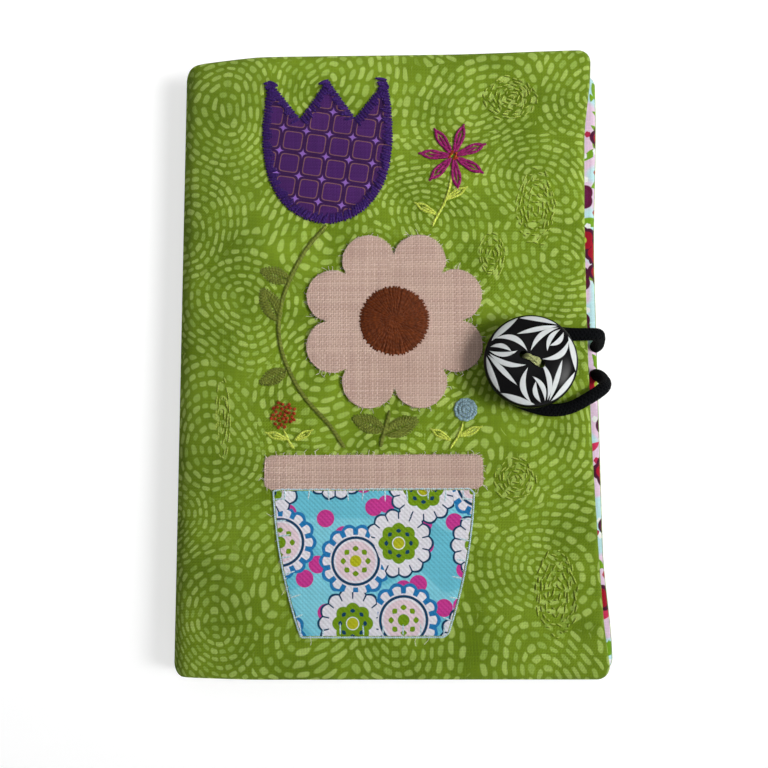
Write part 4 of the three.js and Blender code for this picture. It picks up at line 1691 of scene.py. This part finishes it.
def seed_oval(light, shadow_thread, centre, half_width, half_height, rounds):
    """Crowded, broken rounds of fine stitches, each with a dark thread beside it to the lower left as its
    painted shadow.
    """
    shadow_offset = Vector((-0.26, -0.18))
    chance = light.chance
    for number in range(rounds):
        share = 1 - number / rounds
        radius = (half_width + half_height) / 2 * share
        turn = chance.uniform(0.0, 1.0)
        end = turn + FULL_TURN
        while turn < end:
            span = chance.uniform(0.7, 1.9) / radius
            lean = light.jitter(0.05)
            wobble = share * (1 + light.jitter(0.10))
            spots = []
            for angle, drift in ((turn, -lean), (turn + span, lean)):
                x = centre[0] + half_width * (wobble + drift) * math.cos(angle)
                y = centre[1] + half_height * (wobble + drift) * math.sin(angle)
                spots.append(Vector((x, y)))
            # Painted shadow: a dark stitch to the lower left of the light one
            shadow_thread.sew(spots[0] + shadow_offset, spots[1] + shadow_offset, 0.06, 0.28, 0.14)
            light.sew(*spots, 0.12, 0.34, 0.32)
            turn += span + chance.uniform(0.3, 0.8) / radius


def scatter_seeds(name, body, threads, seed, ovals):
    """Seed stitches over ovals of one body, each with its middle, half width, half height and rounds."""
    light = Sewing(name, threads["seed"], seed)
    # Dark stitches laid as the painted shadow beside the light ones
    shadow_thread = Sewing(name + "_painted_shadow", threads["seed_painted_shadow"], seed)
    for oval in ovals:
        seed_oval(light, shadow_thread, *oval)
    light.done(body)
    shadow_thread.done(body)


def stitched_eye(thread):
    """The daisy's middle, filled with close stitches that run out from its centre over a low dome."""
    foot = front_top(*DAISY) + PATCH_LIFT + PATCH
    rise = EYE_HEIGHT * 0.85

    def dome(turn, out):
        height = rise * math.sqrt(max(1 - (out / (EYE_RADIUS + 0.4)) ** 2, 0.0))
        return Vector((DAISY[0] + out * math.cos(turn), DAISY[1] + out * math.sin(turn), foot + height))

    sewing = Sewing("daisy_eye_stitches", thread, 11)
    for start, end, count, width in [(5.0, 8.5, 74, 0.86), (2.4, 6.2, 46, 0.86), (0.1, 3.4, 24, 0.80)]:
        for number in range(count):
            turn = FULL_TURN * (number + sewing.jitter(0.25)) / count
            inner = dome(turn + sewing.jitter(0.03), start + sewing.jitter(0.5))
            outer = dome(turn + sewing.jitter(0.03), end + sewing.jitter(0.3))
            sewing.stitch(inner, outer, width, 0.6)
    dome_profile = [(0.0, 0.0), (EYE_RADIUS, 0.0)]
    for turn in stepped(0.0, math.pi / 2, math.pi / 16)[1:]:
        dome_profile.append((max(EYE_RADIUS * math.cos(turn), 0.0), rise * math.sin(turn)))
    base = put(turned_shape(dome_profile, 40), 0.0, (DAISY[0], DAISY[1], foot))
    sewing.bm = merged([sewing.bm, base])
    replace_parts(sewing.done(slot="stitched_wool"), "daisy_eye")


def sew_the_edges(threads):
    """Edge stitches and loose ends round the cloth shapes."""
    daisy = daisy_outline()
    tulip = sides_outline(tulip_point)
    pot = sides_outline(pot_point)
    band = sides_outline(band_point)
    # Spacing, reach over the cloth, width and slant of the stitches, and the seed
    edge_stitches("tulip_edging", tulip, threads["purple"], 0.72, 2.1, 0.78, 0.6, 2)
    edge_stitches("pot_edging", pot, threads["pale_blue"], 4.6, 2.3, 0.42, 0.0, 3, along=True)
    edge_stitches("daisy_edging", daisy, threads["beige"], 2.6, 1.4, 0.32, 0.5, 4)
    edge_stitches("band_edging", band, threads["beige"], 2.8, 1.4, 0.32, 0.5, 5)
    # Spacing and greatest length of the loose ends, and the seed
    frayed_edge("daisy_fray", daisy, threads["fray"], "linen", 1.25, 1.5, 6)
    frayed_edge("band_fray", band, threads["fray"], "linen", 1.3, 1.4, 7)
    frayed_edge("pot_fray", pot, threads["fray"], "pot_cotton", 4.5, 2.4, 8)


def sew_olive_stems(threads):
    """The thick stems, with leaves of slanted stitches."""
    olive = Sewing("olive_stems", threads["olive"], 12)
    long_stem = [(-15, 31.6), (-20.5, 25), (-25.8, 13), (-26, 2), (-21, -9), (-14, -17), (-10, -23.6)]
    short_stem = [(0, -13.2), (-1.5, -18.5), (-3, -23.6)]
    for points in (long_stem, short_stem):
        stem(olive, points, 1.05)
    leaves = [
        ((-26.2, 8.0), 118, 9.5),
        ((-23.6, 18.0), 160, 8.0),
        ((-24.2, -3.5), 205, 7.5),
        ((-1.2, -18.0), 158, 8.5),
        ((-1.6, -19.0), 24, 9.0),
    ]
    for foot, degrees, length in leaves:
        leaf_stitches(olive, foot, degrees, length)
    olive.done()


def sew_lime_stems(threads):
    """The thin stems, each with a pair of looped leaves."""
    lime = Sewing("lime_stems", threads["lime"], 13)
    stems = [
        [(15.2, 44), (13.8, 38), (10.6, 32), (9.4, 29.4)],
        [(17.2, -16), (16, -19.5), (12.5, -23.6)],
        [(-25, -17.5), (-24, -20.5), (-21.5, -23.6)],
    ]
    for points in stems:
        stem(lime, points, 0.6)
    leaves = [
        ((12.6, 37.2), 30, 6.4, 0.75),
        ((11.9, 33.6), 150, 6.0, 0.75),
        ((15.4, -19.8), 24, 5.8, 0.7),
        ((14.8, -20.8), 150, 5.6, 0.7),
        ((-23.6, -20.2), 162, 5.4, 0.7),
        ((-23.2, -20.6), 30, 5.0, 0.7),
    ]
    for foot, degrees, length, half_width in leaves:
        looped_petal(lime, foot, degrees, length, half_width, 0.62)
    lime.done()


def sew_small_flowers(threads):
    """A flower of loops with knots in its middle, a ball of knots, and a woven bud."""
    star = (15.5, 48.5)
    petals = 7
    magenta = Sewing("looped_flower", threads["magenta"], 14)
    for number in range(petals):
        looped_petal(magenta, star, 20 + number * 360 / petals, 7.6, 0.95, 0.85)
    magenta.done()
    rust = Sewing("rust_knots", threads["rust"], 15)
    knot_cluster(rust, star, 1.3, 7, 0.9)
    knot_cluster(rust, (-25.3, -14.2), 3.1, 30, 1.0)
    rust.done()
    bud = Sewing("woven_bud", threads["blue_grey"], 16)
    woven_bud(bud, (17.6, -13.2), 2.9)
    bud.done()


def sew_the_ground(threads):
    """Quilting in the green of the print: ovals of seed stitches on the front and on its slope."""
    front_ovals = [
        ((29.6, 62.8), 6.0, 5.2, 6),
        ((35.2, 35.5), 4.6, 9.0, 5),
        ((38.0, -55.5), 4.6, 9.2, 5),
        ((28.9, -29.5), 4.6, 5.0, 5),
        ((24.5, 24.0), 3.0, 5.0, 4),
    ]
    scatter_seeds("seed_stitches", "front_cover", threads, 17, front_ovals)
    slope_ovals = [((-39.8, -15.0), 1.8, 9.0, 3)]
    scatter_seeds("slope_seed_stitches", "front_slope", threads, 18, slope_ovals)


def sew_gutter(thread):
    """The running stitch that holds the felt sheets in the spine."""
    x = -45.9
    half_length = 2.4
    sewing = Sewing("gutter_stitches", thread, 19)
    for y in stepped(-60.0, 60.0, 8.0):
        sewing.stitch((x, y - half_length, SPINE_MIDDLE), (x, y + half_length, SPINE_MIDDLE), 0.55)
    sewing.done("spine")


# Button


def turned_shape(profile, steps):
    """A profile of radius and height, spun round the z axis and closed."""
    bm = bmesh.new()
    verts = [bm.verts.new((radius * MM, 0.0, height * MM)) for radius, height in profile]
    edges = [bm.edges.new(pair) for pair in zip(verts, verts[1:])]
    bmesh.ops.spin(
        bm, geom=verts + edges, cent=(0, 0, 0), axis=(0, 0, 1), angle=FULL_TURN, steps=steps, use_merge=True
    )
    weld(bm)
    bmesh.ops.recalc_face_normals(bm, faces=bm.faces[:])
    return bm


def put(bm, turn, place):
    """The shape turned round z and moved to its place."""
    matrix = Matrix.Translation(Vector(place) * MM) @ Matrix.Rotation(turn, 4, "Z")
    bmesh.ops.transform(bm, matrix=matrix, verts=bm.verts[:])
    return bm


def merged(parts):
    """Several bmeshes as one."""
    whole = bmesh.new()
    for part in parts:
        mesh = bpy.data.meshes.new("part")
        part.to_mesh(mesh)
        part.free()
        whole.from_mesh(mesh)
        bpy.data.meshes.remove(mesh)
    return whole


def drilled(body, drills):
    """The piece with the drills cut out of it."""
    for drill in drills:
        cut = body.modifiers.new("hole", "BOOLEAN")
        cut.operation = "DIFFERENCE"
        cut.object = drill
        cut.solver = "EXACT"
    depsgraph = bpy.context.evaluated_depsgraph_get()
    mesh = bpy.data.meshes.new_from_object(body.evaluated_get(depsgraph))
    body.modifiers.clear()
    body.data = mesh
    smooth(mesh, BUTTON_EDGE)
    for drill in drills:
        bpy.data.objects.remove(drill)


def sewn_button(paint, thread):
    """The domed button with its two holes, and the thread that holds it."""
    radius = BUTTON_RADIUS
    hollow = 0.4
    dish = [(0.0, hollow), (radius * 0.55, hollow), (radius * 0.75, 0.0)]
    foot = [(radius - 0.6, 0.0), (radius - 0.18, 0.18)]
    rim = [(radius, 0.6), (radius, BUTTON_RIM * 0.7)]
    dome = []
    for turn in stepped(0.0, math.pi / 2, math.pi / 36):
        height = BUTTON_RIM + (BUTTON_THICKNESS - BUTTON_RIM) * math.sin(turn)
        dome.append((radius * math.cos(turn) if turn < math.pi / 2 - 1e-6 else 0.0, height))
    place = (BUTTON_X, BUTTON_Y, BUTTON_UNDERSIDE)
    shape = put(turned_shape(dish + foot + rim + dome, 96), BUTTON_TURN, place)
    button = piece("button_painted", shape, paint, BUTTON_EDGE)
    depth = 3 * BUTTON_THICKNESS * MM
    wide = HOLE_RADIUS * MM
    drills = []
    for side in (-1, 1):
        bm = bmesh.new()
        bmesh.ops.create_cone(bm, cap_ends=True, segments=28, radius1=wide, radius2=wide, depth=depth)
        bmesh.ops.translate(bm, verts=bm.verts[:], vec=(side * HOLE_PITCH / 2 * MM, 0.0, 0.0))
        drills.append(piece("drill", put(bm, BUTTON_TURN, place), paint))
    drilled(button, drills)
    dressed(button, "button", "button")
    thread_bar(thread, place)
    wound_shank(thread)


def thread_bar(thread, place):
    """Strands of sewing thread that cross from hole to hole."""
    side = HOLE_PITCH / 2
    over = BUTTON_THICKNESS + 0.35
    thickness = 0.40
    # How far each strand lies beside the bar's middle and above its lowest strand
    offsets = [
        (-0.48, 0.0),
        (-0.26, 0.16),
        (-0.05, 0.05),
        (0.14, 0.22),
        (0.34, 0.10),
        (0.52, 0.0),
        (0.04, 0.40),
    ]
    strands = []
    for number, (beside, above) in enumerate(offsets):
        slant = 0.22 * (-1) ** number
        half = [
            (0.96, beside * 0.5, 0.0, 0.3),
            (0.92, beside * 0.6, 0.0, over * 0.50),
            (0.76, beside * 0.8, slant, over * 0.86 + above * 0.3),
            (0.40, beside, slant, over + above * 0.9),
        ]
        points = [(-side * out, y + lean, z) for out, y, lean, z in half]
        points += [(side * out, y - lean, z) for out, y, lean, z in reversed(half)]
        strands.append(strand(smooth_route(points, 4), thickness, 7))
    bar = piece("button_thread_strands", put(merged(strands), BUTTON_TURN, place), thread, THREAD_EDGE)
    dressed(bar, "button", "button_thread")


def wound_shank(thread):
    """Thread wound round the strands that hold the button off the cloth."""
    low = BOOK_THICKNESS - 0.3
    high = BUTTON_UNDERSIDE - 0.4
    thickness = 0.56
    turns = 8
    steps = 14
    points = []
    for number in range(turns * steps + 1):
        share = number / (turns * steps)
        turn = FULL_TURN * number / steps
        waist = 1.22 + 0.45 * (2 * share - 1) ** 2
        height = low + (high - low) * share
        points.append(Vector((BUTTON_X + waist * math.cos(turn), BUTTON_Y + waist * math.sin(turn), height)))
    profile = [(0.0, low), (1.5, low), (1.1, (low + high) / 2), (1.5, high), (0.0, high)]
    core = put(turned_shape(profile, 16), 0.0, (BUTTON_X, BUTTON_Y, 0.0))
    winding = merged([strand(points, thickness, 6), core])
    shank = piece("button_shank_winding", winding, thread, THREAD_EDGE)
    dressed(shank, "shank", "button_shank")


# The scene


def lay_floor():
    """A pale floor just under the book."""
    half_side = 1.5
    gap = 0.0002
    bm = bmesh.new()
    bmesh.ops.create_grid(bm, x_segments=2, y_segments=2, size=half_side)
    bmesh.ops.translate(bm, verts=bm.verts[:], vec=(0.0, 0.0, -gap))
    piece("floor", bm, pale_floor())


set_the_camera()
light_the_room()
lay_floor()
effects = make_effects()
elastic_loop(black_elastic())
sew_cover(cover_cotton(effects), lining_cotton(effects), batting_fleece())
felt = wool_felt()
outer_gutter = felt_gutter(1, 0, 3, felt)
inner_gutter = felt_gutter(2, 1, 2, felt)
felt_leaf(0, felt)
felt_leaf(1, felt)
felt_leaf(2, felt)
felt_leaf(3, felt)
linen_cloth = linen(effects)
lay_pot(linen_cloth, pot_cotton(effects))
lay_tulip(purple_cotton(effects))
lay_daisy(linen_cloth)
threads = {name: floss(effects, *values) for name, values in THREADS.items()}
sew_the_edges(threads)
stitched_eye(threads["brown"])
sew_olive_stems(threads)
sew_lime_stems(threads)
sew_small_flowers(threads)
sew_the_ground(threads)
sew_gutter(threads["gutter"])
sewn_button(painted_button(effects), threads["button"])
